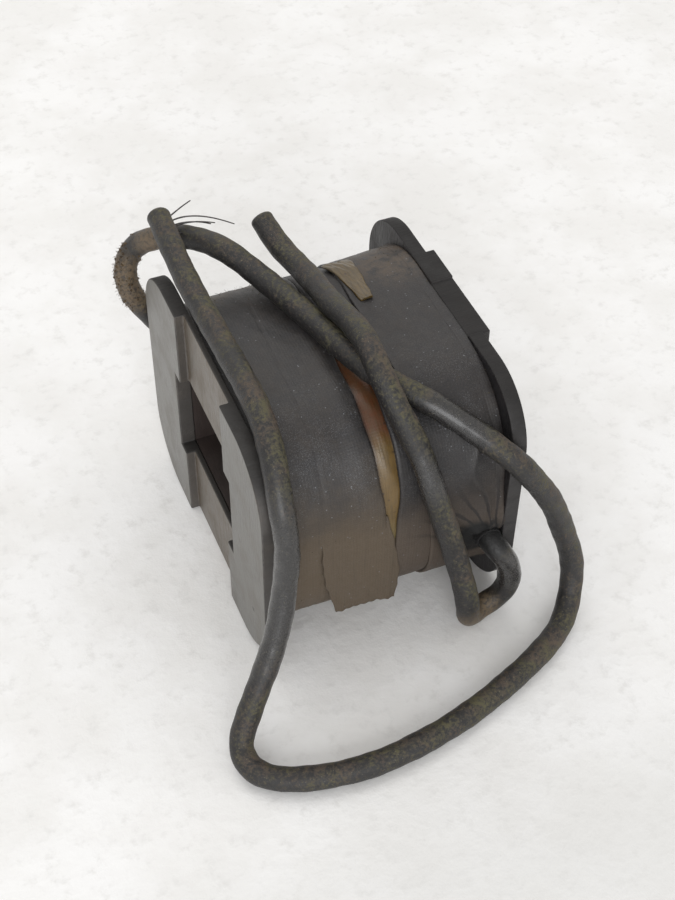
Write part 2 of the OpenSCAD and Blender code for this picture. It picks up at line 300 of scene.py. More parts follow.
class Finish:
    """A material under construction: a Principled shader, its coordinates and its bumps."""

    def __init__(self, name: str, effects: SharedEffects) -> None:
        """Args:
        name: the material's name.
        effects: the shared node groups.
        """
        self.effects = effects
        self.material = bpy.data.materials.new(name)
        self.material.use_nodes = True
        self.material.node_tree.nodes.clear()
        self.g = Graph(self.material.node_tree)
        self.shader = self.g.add("ShaderNodeBsdfPrincipled")
        output = self.g.add("ShaderNodeOutputMaterial")
        self.g.put(output.inputs["Surface"], self.shader.outputs[0])
        places = self.g.add("ShaderNodeTexCoord")
        self.place = places.outputs["Object"]
        self.uv = places.outputs["UV"]
        at = self.g.split(self.place)
        self.x, self.y, self.z = at.outputs[0], at.outputs[1], at.outputs[2]

    def effect(self, tree: bpy.types.NodeTree, **inputs: object) -> bpy.types.Node:
        """Places a shared group.

        Args:
            tree: the group.
            inputs: its inputs, with spaces written as underscores.

        Returns:
            The group node.
        """
        node = self.g.add("ShaderNodeGroup", node_tree=tree)
        for name, value in inputs.items():
            self.g.put(node.inputs[name.replace("_", " ")], value)
        return node

    def bumps(self, *layers: tuple[object, float]) -> None:
        """Chains bumps into the shader's normal.

        Args:
            layers: each layer's height and its depth in millimetres.
        """
        normal = None
        for height, depth in layers:
            node = self.g.add(
                "ShaderNodeBump", {"Height": height, "Distance": depth * MM, "Strength": 1.0}
            )
            if normal is not None:
                self.g.put(node.inputs["Normal"], normal)
            normal = node.outputs[0]
        self.g.put(self.shader.inputs["Normal"], normal)

    def near(self, point: tuple[float, float, float], inner: float, outer: float) -> bpy.types.NodeSocket:
        """Returns a mask that is 1 within inner millimetres of a point and 0 past outer."""
        node = self.g.add(
            "ShaderNodeVectorMath",
            {0: self.place, 1: tuple(c * MM for c in point)},
            operation="DISTANCE",
        )
        return self.g.ramp(node.outputs["Value"], inner * MM, outer * MM, 1.0, 0.0)

    def set(self, **inputs: object) -> bpy.types.Material:
        """Fills the shader's inputs, with spaces written as underscores, and returns the material."""
        for name, value in inputs.items():
            self.g.put(self.shader.inputs[name.replace("_", " ")], value)
        return self.material


@dataclass(frozen=True)
class MouldedPlate:
    """Dark moulded phenolic with worn, chipped edges."""

    name: str
    body: Colour
    worn: Colour
    brown: Colour
    gloss: float
    streaks: float
    # how strongly painted light lightens the faces that look to the left
    outer_light_strength: float
    sawn: float
    pits: tuple[tuple[float, float, float], ...] = ()

    def make(self, fx: SharedEffects) -> bpy.types.Material:
        """Returns the material."""
        f = Finish(self.name, fx)
        g = f.g
        cloud = g.noise(f.place, 180.0, 5.0, 0.6)
        fine = g.noise(f.place, 2600.0, 4.0, 0.7)
        wear = f.effect(fx.edge_wear, Vector=f.place).outputs["Mask"]
        turned = g.add("ShaderNodeMapping", {"Vector": f.place, "Rotation": (0.9, 0.35, 0.6)})
        lines = f.effect(fx.scratches, Vector=turned.outputs[0], Amount=0.45).outputs["Mask"]
        dust = f.effect(fx.dust, Vector=f.place, Patch=240.0, Cover=0.42, Upward=0.5)
        inside = g.math("SUBTRACT", 1.0, g.ramp(g.math("ABSOLUTE", f.y), 0.0078, 0.0081))
        streak = g.noise(g.stretched(f.place, (1.0, 5.0, 0.35)), 700.0, 4.0, 0.6)
        marks = g.math("MULTIPLY", g.math("MULTIPLY", inside, g.ramp(streak, 0.2, 0.6)), self.streaks)
        normal = g.split(g.add("ShaderNodeNewGeometry").outputs["Normal"])
        # painted light: faces that look to the left (-X), the left plate's outer face, are lightened towards a
        # warm grey in cloudy patches
        outward = g.ramp(g.math("MULTIPLY", normal.outputs[0], -1.0), 0.75, 0.97)
        painted_outer_light = g.math("MULTIPLY", outward, g.ramp(cloud, 0.2, 0.7, 0.6, 1.0))
        above = g.ramp(normal.outputs[2], 0.2, 0.7)
        colour = g.mix(g.ramp(cloud, 0.3, 0.7), self.body, tuple(c * 1.6 for c in self.body))
        colour = g.mix(g.math("MULTIPLY", dust.outputs["Mask"], 0.3), colour, self.brown)
        colour = g.mix(g.math("MULTIPLY", painted_outer_light, self.outer_light_strength), colour, (0.28, 0.27, 0.245))
        colour = g.mix(marks, colour, self.brown)
        colour = g.mix(g.math("MULTIPLY", lines, 0.5), colour, self.worn)
        colour = g.mix(g.math("MULTIPLY", wear, 0.45), colour, self.worn)
        # painted shade: faces that look up are darkened almost to black
        colour = g.mix(g.math("MULTIPLY", above, 0.85), colour, (0.006, 0.005, 0.0045))
        for pit in self.pits:
            colour = g.mix(f.near(pit, 0.2, 0.5), colour, (0.008, 0.007, 0.006))
        sawn = g.noise(g.stretched(f.place, (0.15, 1.0, 0.3)), 1900.0, 3.0, 0.6)
        colour = g.mix(g.math("MULTIPLY", g.ramp(sawn, 0.5, 0.6), self.sawn), colour, (0.004, 0.0035, 0.0035))
        rough = g.math("ADD", g.ramp(cloud, 0.25, 0.75, self.gloss - 0.05, self.gloss + 0.08),
                       g.math("MULTIPLY", dust.outputs["Mask"], 0.12))
        rough = g.math("ADD", rough, g.math("MULTIPLY", above, 0.15))
        f.bumps((cloud, 0.05), (fine, 0.012), (streak, 0.02), (lines, -0.01), (sawn, 0.12))
        return f.set(Base_Color=colour, Roughness=rough, IOR=1.55)


@dataclass(frozen=True)
class BlackTape:
    """Varnished black cambric tape, brown where dusty, with painted glints on its front shoulder and painted
    shade in the pleats and at the right lead's exit.
    """

    name: str
    clean: Colour
    dusty: Colour
    dust_top: float
    dust_low: float
    # strength of the painted glints
    glint_speckle: float
    # whether painted shade is drawn along the pleats round the right lead's exit
    folded: bool = False
    # points of the painted shadow of the dark opening where the right lead leaves the tape
    painted_exit_shadow: tuple[tuple[float, float, float], ...] = (
        (12.0, -20.6, 14.2), (10.6, -20.4, 14.4), (11.0, -20.2, 12.0))
    patches: tuple[tuple[float, float, float, float, float], ...] = ()

    def make(self, fx: SharedEffects) -> bpy.types.Material:
        """Returns the material."""
        f = Finish(self.name, fx)
        g = f.g
        weave = f.effect(fx.weave, Vector=f.uv, Threads=2700.0)
        cloud = g.noise(f.place, 160.0, 6.0, 0.65)
        blotch = g.noise(f.place, 750.0, 5.0, 0.7)
        grit = g.noise(f.place, 4200.0, 3.0, 0.8)
        height = g.ramp(f.z, self.dust_low * MM, self.dust_top * MM, 1.0, 0.0)
        level = g.math("ADD", height, g.math("MULTIPLY", g.math("SUBTRACT", cloud, 0.5), 0.7))
        dusty = g.ramp(level, -0.15, 0.95)
        dust = f.effect(fx.dust, Vector=f.place, Patch=900.0, Cover=0.46, Upward=0.1)
        # painted glints: bright bluish-grey dots stand in for the light the varnish catches, scattered thinly
        # all over and thickest on the front shoulder
        painted_glints = f.effect(fx.glint_speckle, Vector=f.place, Density=11000.0, Share=0.5).outputs["Mask"]
        few = f.effect(fx.glint_speckle, Vector=f.place, Density=3600.0, Share=0.025).outputs["Mask"]
        run = g.noise(g.stretched(f.uv, (110.0, 2300.0, 1.0)), 1.0, 4.0, 0.6)
        patchy = g.ramp(g.noise(f.place, 240.0, 4.0), 0.34, 0.6)
        # the front shoulder, where the painted glints gather most
        shoulder = g.math("MULTIPLY", g.ramp(f.z, 0.021, 0.029), g.ramp(f.y, -0.016, -0.004, 1.0, 0.0))
        patchy = g.math("MULTIPLY", patchy, g.math("ADD", g.math("MULTIPLY", shoulder, 0.8), 0.3))
        painted_glints = g.math("MULTIPLY", painted_glints, g.math("MULTIPLY", patchy, self.glint_speckle))
        painted_glints = g.math("MAXIMUM", painted_glints, g.math("MULTIPLY", few, self.glint_speckle))
        base = g.mix(g.ramp(blotch, 0.3, 0.7), self.clean, tuple(c * 1.7 for c in self.clean))
        colour = g.mix(g.math("MULTIPLY", dusty, 0.9), base, self.dusty)
        settled = g.math("ADD", 0.06, g.math("MULTIPLY", dusty, 0.22))
        colour = g.mix(g.math("MULTIPLY", dust.outputs["Mask"], settled), colour, self.dusty)
        for x, y, z, inner, outer in self.patches:
            ragged = g.math("MULTIPLY", f.near((x, y, z), inner, outer), g.ramp(blotch, 0.35, 0.6))
            colour = g.mix(ragged, colour, self.dusty)
        colour = g.mix(g.math("MULTIPLY", weave.outputs["Gaps"], 0.14), colour, (0.006, 0.006, 0.006))
        colour = g.mix(g.ramp(run, 0.52, 0.68, 0.0, 0.13), colour, (0.012, 0.011, 0.01))
        colour = g.mix(g.math("MULTIPLY", dust.outputs["Grains"], 0.2), colour, (0.12, 0.1, 0.075))
        # painted glints lighten the colour to a bluish grey
        colour = g.mix(g.math("MULTIPLY", painted_glints, 0.55), colour, (0.26, 0.27, 0.29))
        # painted shade: dark lines along the creases of the pleats and a darker area round the right lead's exit
        if self.folded:
            high = g.math("SUBTRACT", f.z, 0.0125)
            aside = g.math("SUBTRACT", 0.0132, f.x)
            angle = g.math("ADD", g.math("ARCTAN2", high, aside), g.math("MULTIPLY", cloud, 0.25))
            crease = g.ramp(g.math("COSINE", g.math("MULTIPLY", angle, 26.0)), 0.5, 0.95)
            in_front = g.ramp(f.y, -0.0195, -0.017, 1.0, 0.0)
            spread = g.math("MULTIPLY", f.near((12.6, -19.9, 15.0), 3.0, 12.0), in_front)
            spread = g.math("MULTIPLY", spread, g.ramp(high, 0.001, 0.003))
            pressed = g.math("MULTIPLY", crease, spread)
            colour = g.mix(g.math("MULTIPLY", pressed, 0.8), colour, (0.006, 0.005, 0.005))
            colour = g.mix(g.math("MULTIPLY", spread, 0.3), colour, (0.012, 0.009, 0.009))
        # painted shadow: near-black ragged patches stand in for the opening at the right lead's exit
        for spot in self.painted_exit_shadow:
            dark = g.math("MULTIPLY", f.near(spot, 1.4, 2.8), g.ramp(blotch, 0.3, 0.5, 0.35, 1.0))
            colour = g.mix(dark, colour, (0.003, 0.003, 0.003))
        rough = g.math("ADD", g.ramp(blotch, 0.3, 0.7, 0.42, 0.55), g.math("MULTIPLY", dusty, 0.25))
        rough = g.math("SUBTRACT", rough, g.math("MULTIPLY", painted_glints, 0.2))
        f.bumps((cloud, 0.05), (blotch, 0.05), (run, 0.01), (weave.outputs["Height"], 0.007), (grit, 0.03))
        return f.set(Base_Color=colour, Roughness=rough, IOR=1.5)


@dataclass(frozen=True)
class VarnishedCambric:
    """Amber varnished cloth, orange where it is deep and yellow where it is thin."""

    name: str
    deep: Colour
    amber: Colour
    pale: Colour
    orange_above: float
    pale_below: float
    fibres: float
    # x below which the strip is darkened as painted shadow of the left tape's raised border
    edge_shadow_x: float

    def make(self, fx: SharedEffects) -> bpy.types.Material:
        """Returns the material."""
        f = Finish(self.name, fx)
        g = f.g
        cloud = g.noise(f.place, 260.0, 5.0, 0.6)
        shift = g.math("MULTIPLY", g.math("SUBTRACT", cloud, 0.5), 0.006)
        z = g.math("ADD", f.z, shift)
        colour = g.mix(g.ramp(z, self.pale_below * MM, (self.pale_below + 8) * MM), self.pale, self.amber)
        colour = g.mix(g.ramp(z, (self.orange_above - 3) * MM, self.orange_above * MM), colour, self.deep)
        fibre = g.noise(g.stretched(f.uv, (260.0, 3600.0, 1.0)), 1.0, 4.0, 0.65)
        colour = g.mix(g.math("MULTIPLY", g.ramp(fibre, 0.42, 0.66), self.fibres), colour,
                       tuple(c * 0.45 for c in self.amber))
        spots = f.effect(fx.glint_speckle, Vector=f.place, Density=1500.0, Share=0.2).outputs["Mask"]
        colour = g.mix(g.math("MULTIPLY", spots, 0.75), colour, (0.03, 0.015, 0.008))
        # painted shadow: the strip's left edge, beside the raised right border of the left tape, is darkened
        side = g.ramp(g.math("ADD", f.x, g.math("MULTIPLY", shift, 0.12)), self.edge_shadow_x * MM,
                      (self.edge_shadow_x + 0.8) * MM, 0.85, 0.0)
        colour = g.mix(side, colour, (0.035, 0.012, 0.006))
        dust = f.effect(fx.dust, Vector=f.place, Patch=800.0, Cover=0.4, Upward=0.3)
        colour = g.mix(g.math("MULTIPLY", dust.outputs["Mask"], 0.35), colour, (0.06, 0.048, 0.028))
        weave = f.effect(fx.weave, Vector=f.uv, Threads=2700.0)
        f.bumps((cloud, 0.1), (fibre, 0.03), (weave.outputs["Height"], 0.006))
        return f.set(Base_Color=colour, Roughness=g.ramp(cloud, 0.3, 0.7, 0.3, 0.5),
                     Coat_Weight=0.2, Coat_Roughness=0.3, IOR=1.5)


@dataclass(frozen=True)
class LeadRubber:
    """Old black rubber with olive and brown dirt pressed into it; the olive is heavier on the upper right side,
    partly as painted light.
    """

    name: str
    black: Colour
    olive: Colour
    brown: Colour
    clean_spots: tuple[tuple[float, float, float, float, float], ...]
    rusty_spots: tuple[tuple[float, float, float, float, float], ...]

    def make(self, fx: SharedEffects) -> bpy.types.Material:
        """Returns the material."""
        f = Finish(self.name, fx)
        g = f.g
        cloud = g.noise(f.place, 190.0, 6.0, 0.7)
        mottled = g.noise(f.place, 2100.0, 6.0, 0.78)
        grit = g.noise(f.place, 5200.0, 3.0, 0.75)
        normal = g.split(g.add("ShaderNodeNewGeometry").outputs["Normal"])
        # dust and painted light: olive soil is heavier on faces that look right and up, standing partly for dust
        # and partly for the light along the leads' upper right side
        side = g.math("ADD", g.math("MULTIPLY", normal.outputs[0], 0.55),
                      g.math("MULTIPLY", normal.outputs[2], 0.4))
        dirt = g.math("ADD", g.math("ADD", g.math("MULTIPLY", cloud, 0.8), g.math("MULTIPLY", side, 0.3)),
                      g.math("MULTIPLY", g.math("SUBTRACT", mottled, 0.5), 2.1))
        cover = g.ramp(dirt, 0.33, 0.8)
        clean: object = 0.0
        for x, y, z, inner, outer in self.clean_spots:
            clean = g.math("MAXIMUM", clean, f.near((x, y, z), inner, outer))
        rusty: object = 0.0
        for x, y, z, inner, outer in self.rusty_spots:
            rusty = g.math("MAXIMUM", rusty, f.near((x, y, z), inner, outer))
        cover = g.math("MULTIPLY", cover, g.math("SUBTRACT", 1.0, g.math("MULTIPLY", clean, 0.9)))
        tone = g.noise(f.place, 330.0, 3.0)
        soil = g.mix(g.ramp(tone, 0.4, 0.62), self.olive, self.brown)
        rust = g.math("MULTIPLY", rusty, g.ramp(mottled, 0.32, 0.6))
        dull = g.mix(g.ramp(mottled, 0.3, 0.7), self.black, tuple(c * 1.9 for c in self.black))
        colour = g.mix(g.math("MULTIPLY", cover, 0.85), dull, soil)
        colour = g.mix(rust, colour, (0.14, 0.1, 0.06))
        specks = f.effect(fx.glint_speckle, Vector=f.place, Density=5200.0, Share=0.06).outputs["Mask"]
        colour = g.mix(g.math("MULTIPLY", specks, 0.6), colour, (0.2, 0.18, 0.12))
        # painted shadow: the lead is darkened almost to black where it leaves the right tape's opening
        colour = g.mix(f.near((12.3, -21.8, 14.2), 2.3, 3.4), colour, (0.004, 0.004, 0.004))
        rough = g.math("ADD", g.ramp(mottled, 0.3, 0.7, 0.36, 0.52), g.math("MULTIPLY", cover, 0.3))
        rough = g.math("SUBTRACT", rough, g.math("MULTIPLY", clean, 0.2))
        f.bumps((cloud, 0.08), (mottled, 0.09), (grit, 0.045))
        return f.set(Base_Color=colour, Roughness=rough, Coat_Weight=g.math("MULTIPLY", clean, 0.6),
                     Coat_Roughness=0.22, IOR=1.52)


class Pattern(Enum):
    """How a plain inner finish is marked."""

    FIBRES = "fibres"
    TURNS = "turns"
    BRAID = "braid"
    CLOUDS = "clouds"


@dataclass(frozen=True)
class InnerFinish:
    """Paper, fibre, wire, sleeving or solder inside and beside the windings."""

    name: str
    light: Colour
    dark: Colour
    pattern: Pattern
    per_metre: float
    roughness: float
    metallic: float = 0.0
    relief: float = 0.03

    def make(self, fx: SharedEffects) -> bpy.types.Material:
        """Returns the material."""
        f = Finish(self.name, fx)
        g = f.g
        cloud = g.noise(f.place, 420.0, 4.0, 0.6)
        if self.pattern is Pattern.FIBRES:
            mark = g.noise(g.stretched(f.place, (1.0, 0.12, 0.12)), self.per_metre, 4.0, 0.7)
        elif self.pattern is Pattern.TURNS:
            wander = g.math("MULTIPLY", g.noise(f.place, 90.0, 2.0), 0.6 / self.per_metre)
            turn = g.math("MULTIPLY", g.math("ADD", f.x, wander), self.per_metre * math.pi)
            mark = g.math("ABSOLUTE", g.math("SINE", turn))
        elif self.pattern is Pattern.BRAID:
            a = g.math("MULTIPLY", g.math("ADD", f.x, f.y), self.per_metre * math.pi)
            b = g.math("MULTIPLY", g.math("SUBTRACT", f.z, f.y), self.per_metre * math.pi)
            mark = g.math("ABSOLUTE", g.math("MULTIPLY", g.math("SINE", a), g.math("SINE", b)))
        else:
            mark = g.noise(f.place, self.per_metre, 5.0, 0.7)
        colour = g.mix(mark, self.dark, self.light)
        dust = f.effect(fx.dust, Vector=f.place, Patch=500.0, Cover=0.38, Upward=0.4)
        colour = g.mix(g.math("MULTIPLY", dust.outputs["Mask"], 0.3), colour,
                       tuple(c * 0.5 for c in self.dark))
        rough = g.ramp(cloud, 0.3, 0.7, self.roughness - 0.07, self.roughness + 0.1)
        f.bumps((cloud, 0.05), (mark, self.relief))
        return f.set(Base_Color=colour, Roughness=rough, Metallic=self.metallic)


@dataclass(frozen=True)
class LooseFibre:
    """Fibre, grit and bare strand too small to carry a pattern of their own."""

    name: str
    dark: Colour
    light: Colour
    roughness: float
    metallic: float = 0.0

    def make(self, fx: SharedEffects) -> bpy.types.Material:
        """Returns the material."""
        f = Finish(self.name, fx)
        g = f.g
        tone = g.noise(f.place, 1600.0, 3.0, 0.7)
        colour = g.mix(g.ramp(tone, 0.35, 0.65), self.dark, self.light)
        f.bumps((g.noise(f.place, 6000.0, 2.0), 0.01))
        return f.set(Base_Color=colour, Roughness=self.roughness, Metallic=self.metallic)


@dataclass(frozen=True)
class TableTop:
    """Pale, slightly uneven table top under the coil."""

    name: str = "pale_table"

    def make(self, fx: SharedEffects) -> bpy.types.Material:
        """Returns the material."""
        f = Finish(self.name, fx)
        g = f.g
        cloud = g.noise(f.place, 60.0, 4.0, 0.6)
        fleck = g.noise(f.place, 420.0, 4.0, 0.65)
        colour = g.mix(g.ramp(cloud, 0.35, 0.65), (0.84, 0.835, 0.82), (0.9, 0.9, 0.895))
        colour = g.mix(g.ramp(fleck, 0.5, 0.75, 0.0, 0.7), colour, (0.74, 0.735, 0.72))
        # painted shade: the table darkens towards the front
        colour = g.mix(g.ramp(f.y, -0.06, -0.036, 0.6, 0.0), colour, (0.68, 0.68, 0.665))
        f.bumps((cloud, 0.3), (fleck, 0.12))
        return f.set(Base_Color=colour, Roughness=0.6)


class Finishes:
    """Every material of the coil, made once and named for what it is on."""

    def __init__(self) -> None:
        """Makes the shared effects and the materials."""
        fx = SharedEffects()
        self.left_plate = MouldedPlate(
            "left_plate_phenolic", (0.015, 0.014, 0.014), (0.12, 0.11, 0.1), (0.1, 0.076, 0.052),
            0.36, 1.0, 0.5, 0.0, ((-17.2, -17.0, 8.0), (-17.2, -7.4, 29.0), (-17.2, 8.6, 12.0))).make(fx)
        self.right_plate = MouldedPlate(
            "right_plate_phenolic", (0.012, 0.011, 0.012), (0.035, 0.032, 0.03), (0.034, 0.024, 0.02),
            0.5, 0.4, 0.0, 0.4).make(fx)
        self.left_tape = BlackTape(
            "left_black_tape", (0.0155, 0.0148, 0.016), (0.098, 0.072, 0.046), 32.0, 14.0, 1.0,
            patches=((-12.0, 15.0, 33.0, 2.0, 6.0), (-6.0, 15.5, 33.0, 1.0, 4.0))).make(fx)
        self.right_tape = BlackTape(
            "right_black_tape", (0.01, 0.0092, 0.0102), (0.078, 0.058, 0.042), 27.0, 12.0, 1.0,
            folded=True, patches=((11.5, 10.0, 34.0, 2.5, 8.0),)).make(fx)
        self.cambric = VarnishedCambric(
            "amber_cambric", (0.1, 0.034, 0.011), (0.14, 0.085, 0.024), (0.16, 0.125, 0.052),
            32.0, 15.0, 0.35, -2.0).make(fx)
        self.tab = VarnishedCambric(
            "ochre_cambric_tab", (0.115, 0.075, 0.024), (0.115, 0.075, 0.024), (0.115, 0.078, 0.03),
            60.0, 0.0, 0.75, -9.0).make(fx)
        black, olive, brown = (0.0105, 0.0098, 0.0098), (0.102, 0.092, 0.046), (0.1, 0.074, 0.052)
        self.left_rubber = LeadRubber(
            "left_lead_rubber", black, olive, brown,
            ((8.0, -18.0, 32.2, 2.5, 6.0), (-15.5, -24.0, 21.0, 6.0, 17.0)),
            ((-18.0, 25.5, 27.5, 2.5, 6.0), (-15.0, 22.5, 35.0, 1.0, 4.0))).make(fx)
        self.right_rubber = LeadRubber(
            "right_lead_rubber", black, olive, brown,
            ((3.0, -21.0, 28.0, 1.5, 5.0), (14.0, -23.5, 9.0, 2.0, 5.0)),
            ((9.5, -24.0, 2.0, 2.0, 5.0),)).make(fx)
        self.fibre = InnerFinish(
            "vulcanised_fibre", (0.05, 0.035, 0.03), (0.02, 0.014, 0.012), Pattern.FIBRES,
            3000.0, 0.6).make(fx)
        self.paper = InnerFinish(
            "varnished_paper", (0.5, 0.36, 0.19), (0.3, 0.19, 0.08), Pattern.FIBRES,
            2600.0, 0.6).make(fx)
        self.fish_paper = InnerFinish(
            "grey_fish_paper", (0.11, 0.115, 0.12), (0.05, 0.052, 0.055), Pattern.CLOUDS,
            2200.0, 0.7).make(fx)
        self.magnet_wire = InnerFinish(
            "enamelled_wire", (0.5, 0.17, 0.05), (0.1, 0.025, 0.01), Pattern.TURNS,
            2400.0, 0.32, 0.8, 0.12).make(fx)
        self.fine_wire = InnerFinish(
            "fine_enamelled_wire", (0.55, 0.24, 0.08), (0.16, 0.05, 0.02), Pattern.TURNS,
            9000.0, 0.38, 0.7, 0.04).make(fx)
        self.solder = InnerFinish(
            "dull_solder", (0.6, 0.6, 0.57), (0.35, 0.35, 0.34), Pattern.CLOUDS,
            1500.0, 0.42, 0.9).make(fx)
        self.sleeving = InnerFinish(
            "varnished_sleeving", (0.5, 0.4, 0.18), (0.22, 0.15, 0.06), Pattern.BRAID,
            1700.0, 0.55, 0.0, 0.06).make(fx)
        self.copper = InnerFinish(
            "stranded_copper", (0.6, 0.25, 0.12), (0.2, 0.07, 0.035), Pattern.BRAID,
            2600.0, 0.4, 0.9, 0.05).make(fx)
        self.binding = InnerFinish(
            "dark_binding_thread", (0.007, 0.006, 0.006), (0.003, 0.003, 0.003), Pattern.BRAID,
            2400.0, 0.8, 0.0, 0.09).make(fx)
        self.fuzz = LooseFibre("brown_fuzz", (0.035, 0.023, 0.012), (0.12, 0.08, 0.04), 0.85).make(fx)
        self.grit = LooseFibre("olive_grit", (0.04, 0.034, 0.02), (0.1, 0.085, 0.05), 0.9).make(fx)
        self.strand = LooseFibre("tarnished_strand", (0.03, 0.028, 0.03), (0.1, 0.09, 0.085), 0.45, 0.5).make(fx)
        self.table = TableTop().make(fx)


# ---------------------------------------------------------------- mesh tools


def make_object(name: str, mesh: bpy.types.Mesh, *materials: bpy.types.Material) -> bpy.types.Object:
    """Links a new object at the origin.

    Args:
        name: the piece's name.
        mesh: its mesh, in metres.
        materials: its material slots.

    Returns:
        The object.
    """
    mesh.materials.clear()
    for material in materials:
        mesh.materials.append(material)
    obj = bpy.data.objects.new(name, mesh)
    bpy.context.scene.collection.objects.link(obj)
    return obj


def grid_mesh(
    name: str, points: np.ndarray, uvs: np.ndarray, wraps: bool, caps: bool = False
) -> bpy.types.Mesh:
    """Makes a closed shell out of rings of points.

    Args:
        name: the mesh's name.
        points: rows x columns x 3, in millimetres; each column list runs round a cross-section.
        uvs: rows x columns x 2, in metres.
        wraps: whether the last row joins the first.
        caps: whether the first and last row are closed with faces.

    Returns:
        The mesh, smooth shaded.
    """
    rows, cols = points.shape[:2]
    index = np.arange(rows * cols).reshape(rows, cols)
    follow = index if wraps else index[:-1]
    after = np.roll(index, -1, axis=0) if wraps else index[1:]
    faces = np.stack(
        [follow, np.roll(follow, -1, axis=1), np.roll(after, -1, axis=1), after], axis=-1
    ).reshape(-1, 4).tolist()
    if caps:
        half = cols // 2
        for row, flip in ((index[0], False), (index[-1], True)):
            for j in range(half - 1):
                quad = [row[j], row[j + 1], row[cols - 2 - j], row[cols - 1 - j]]
                faces.append([int(v) for v in (quad if flip else quad[::-1])])
    mesh = bpy.data.meshes.new(name)
    mesh.from_pydata((points.reshape(-1, 3) * MM).tolist(), [], faces)
    layer = mesh.uv_layers.new(name="UVMap")
    flat = uvs.reshape(-1, 2)
    loops = np.zeros(len(mesh.loops), np.int32)
    mesh.loops.foreach_get("vertex_index", loops)
    layer.data.foreach_set("uv", flat[loops].astype(np.float32).ravel())
    mesh.polygons.foreach_set("use_smooth", [True] * len(mesh.polygons))
    mesh.update()
    return mesh


def recalculated(mesh: bpy.types.Mesh) -> bpy.types.Mesh:
    """Returns the mesh with its faces turned outwards."""
    bm = bmesh.new()
    bm.from_mesh(mesh)
    bmesh.ops.remove_doubles(bm, verts=bm.verts, dist=1e-7)
    bmesh.ops.recalc_face_normals(bm, faces=bm.faces)
    bm.to_mesh(mesh)
    bm.free()
    return mesh


def smooth_noise(seed: int, *coords: tuple[np.ndarray, float]) -> np.ndarray:
    """Sums a few fixed waves into a soft, repeatable noise between about -1 and 1.

    Args:
        seed: picks the waves.
        coords: each coordinate array with its wavelength, in the same unit.

    Returns:
        The noise at every point.
    """
    rng = np.random.default_rng(seed)
    total = 0.0
    for octave in range(4):
        phase = rng.uniform(0, 6.28)
        for values, wavelength in coords:
            phase = phase + values * (6.2832 / wavelength) * (1.7**octave) * rng.uniform(0.6, 1.3)
        total = total + np.sin(phase) / 1.6**octave
    return total / 2.2


def bump_at(values: np.ndarray, centre: float, width: float) -> np.ndarray:
    """Returns a soft bell round centre."""
    return np.exp(-(((values - centre) / width) ** 2))


def smooth_step(values: np.ndarray, low: float, high: float) -> np.ndarray:
    """Returns 0 below low, 1 above high, and a smooth rise between."""
    t = np.clip((values - low) / (high - low), 0, 1)
    return t * t * (3 - 2 * t)


@dataclass(frozen=True)
class Section:
    """A rounded rectangle across the coil's axis, walked from the bottom up the front."""

    width: float
    height: float
    radius: float
    forward: float = 0.75
    mid_z: float = 17.5

    @property
    def round(self) -> float:
        """The length all the way round."""
        return 2 * (self.width + self.height) - (8 - 2 * math.pi) * self.radius

    def at(self, s: np.ndarray) -> tuple[np.ndarray, np.ndarray, np.ndarray, np.ndarray]:
        """Finds the outline at distances s from the middle of the bottom.

        Args:
            s: distances in millimetres.

        Returns:
            y, z and the outward normal's y and z.
        """
        a, b, r = self.width / 2 - self.radius, self.height / 2 - self.radius, self.radius
        arc = math.pi * r / 2
        s = np.mod(s, self.round)
        y, z = np.zeros_like(s), np.zeros_like(s)
        ny, nz = np.zeros_like(s), np.zeros_like(s)
        start = 0.0
        pieces = (
            ("line", a, (0, -b - r), (-1, 0), (0, -1)),
            ("arc", arc, (-a, -b), -math.pi / 2, None),
            ("line", 2 * b, (-a - r, -b), (0, 1), (-1, 0)),
            ("arc", arc, (-a, b), -math.pi, None),
            ("line", 2 * a, (-a, b + r), (1, 0), (0, 1)),
            ("arc", arc, (a, b), -1.5 * math.pi, None),
            ("line", 2 * b, (a + r, b), (0, -1), (1, 0)),
            ("arc", arc, (a, -b), -2 * math.pi, None),
            ("line", a, (a, -b - r), (-1, 0), (0, -1)),
        )
        for kind, length, origin, way, normal in pieces:
            here = (s >= start) & (s <= start + length + 1e-9)
            t = s[here] - start
            if kind == "line":
                y[here], z[here] = origin[0] + way[0] * t, origin[1] + way[1] * t
                ny[here], nz[here] = normal
            else:
                angle = way - t / r
                ny[here], nz[here] = np.cos(angle), np.sin(angle)
                y[here], z[here] = origin[0] + r * ny[here], origin[1] + r * nz[here]
            start += length
        return y - self.forward, z + self.mid_z, ny, nz


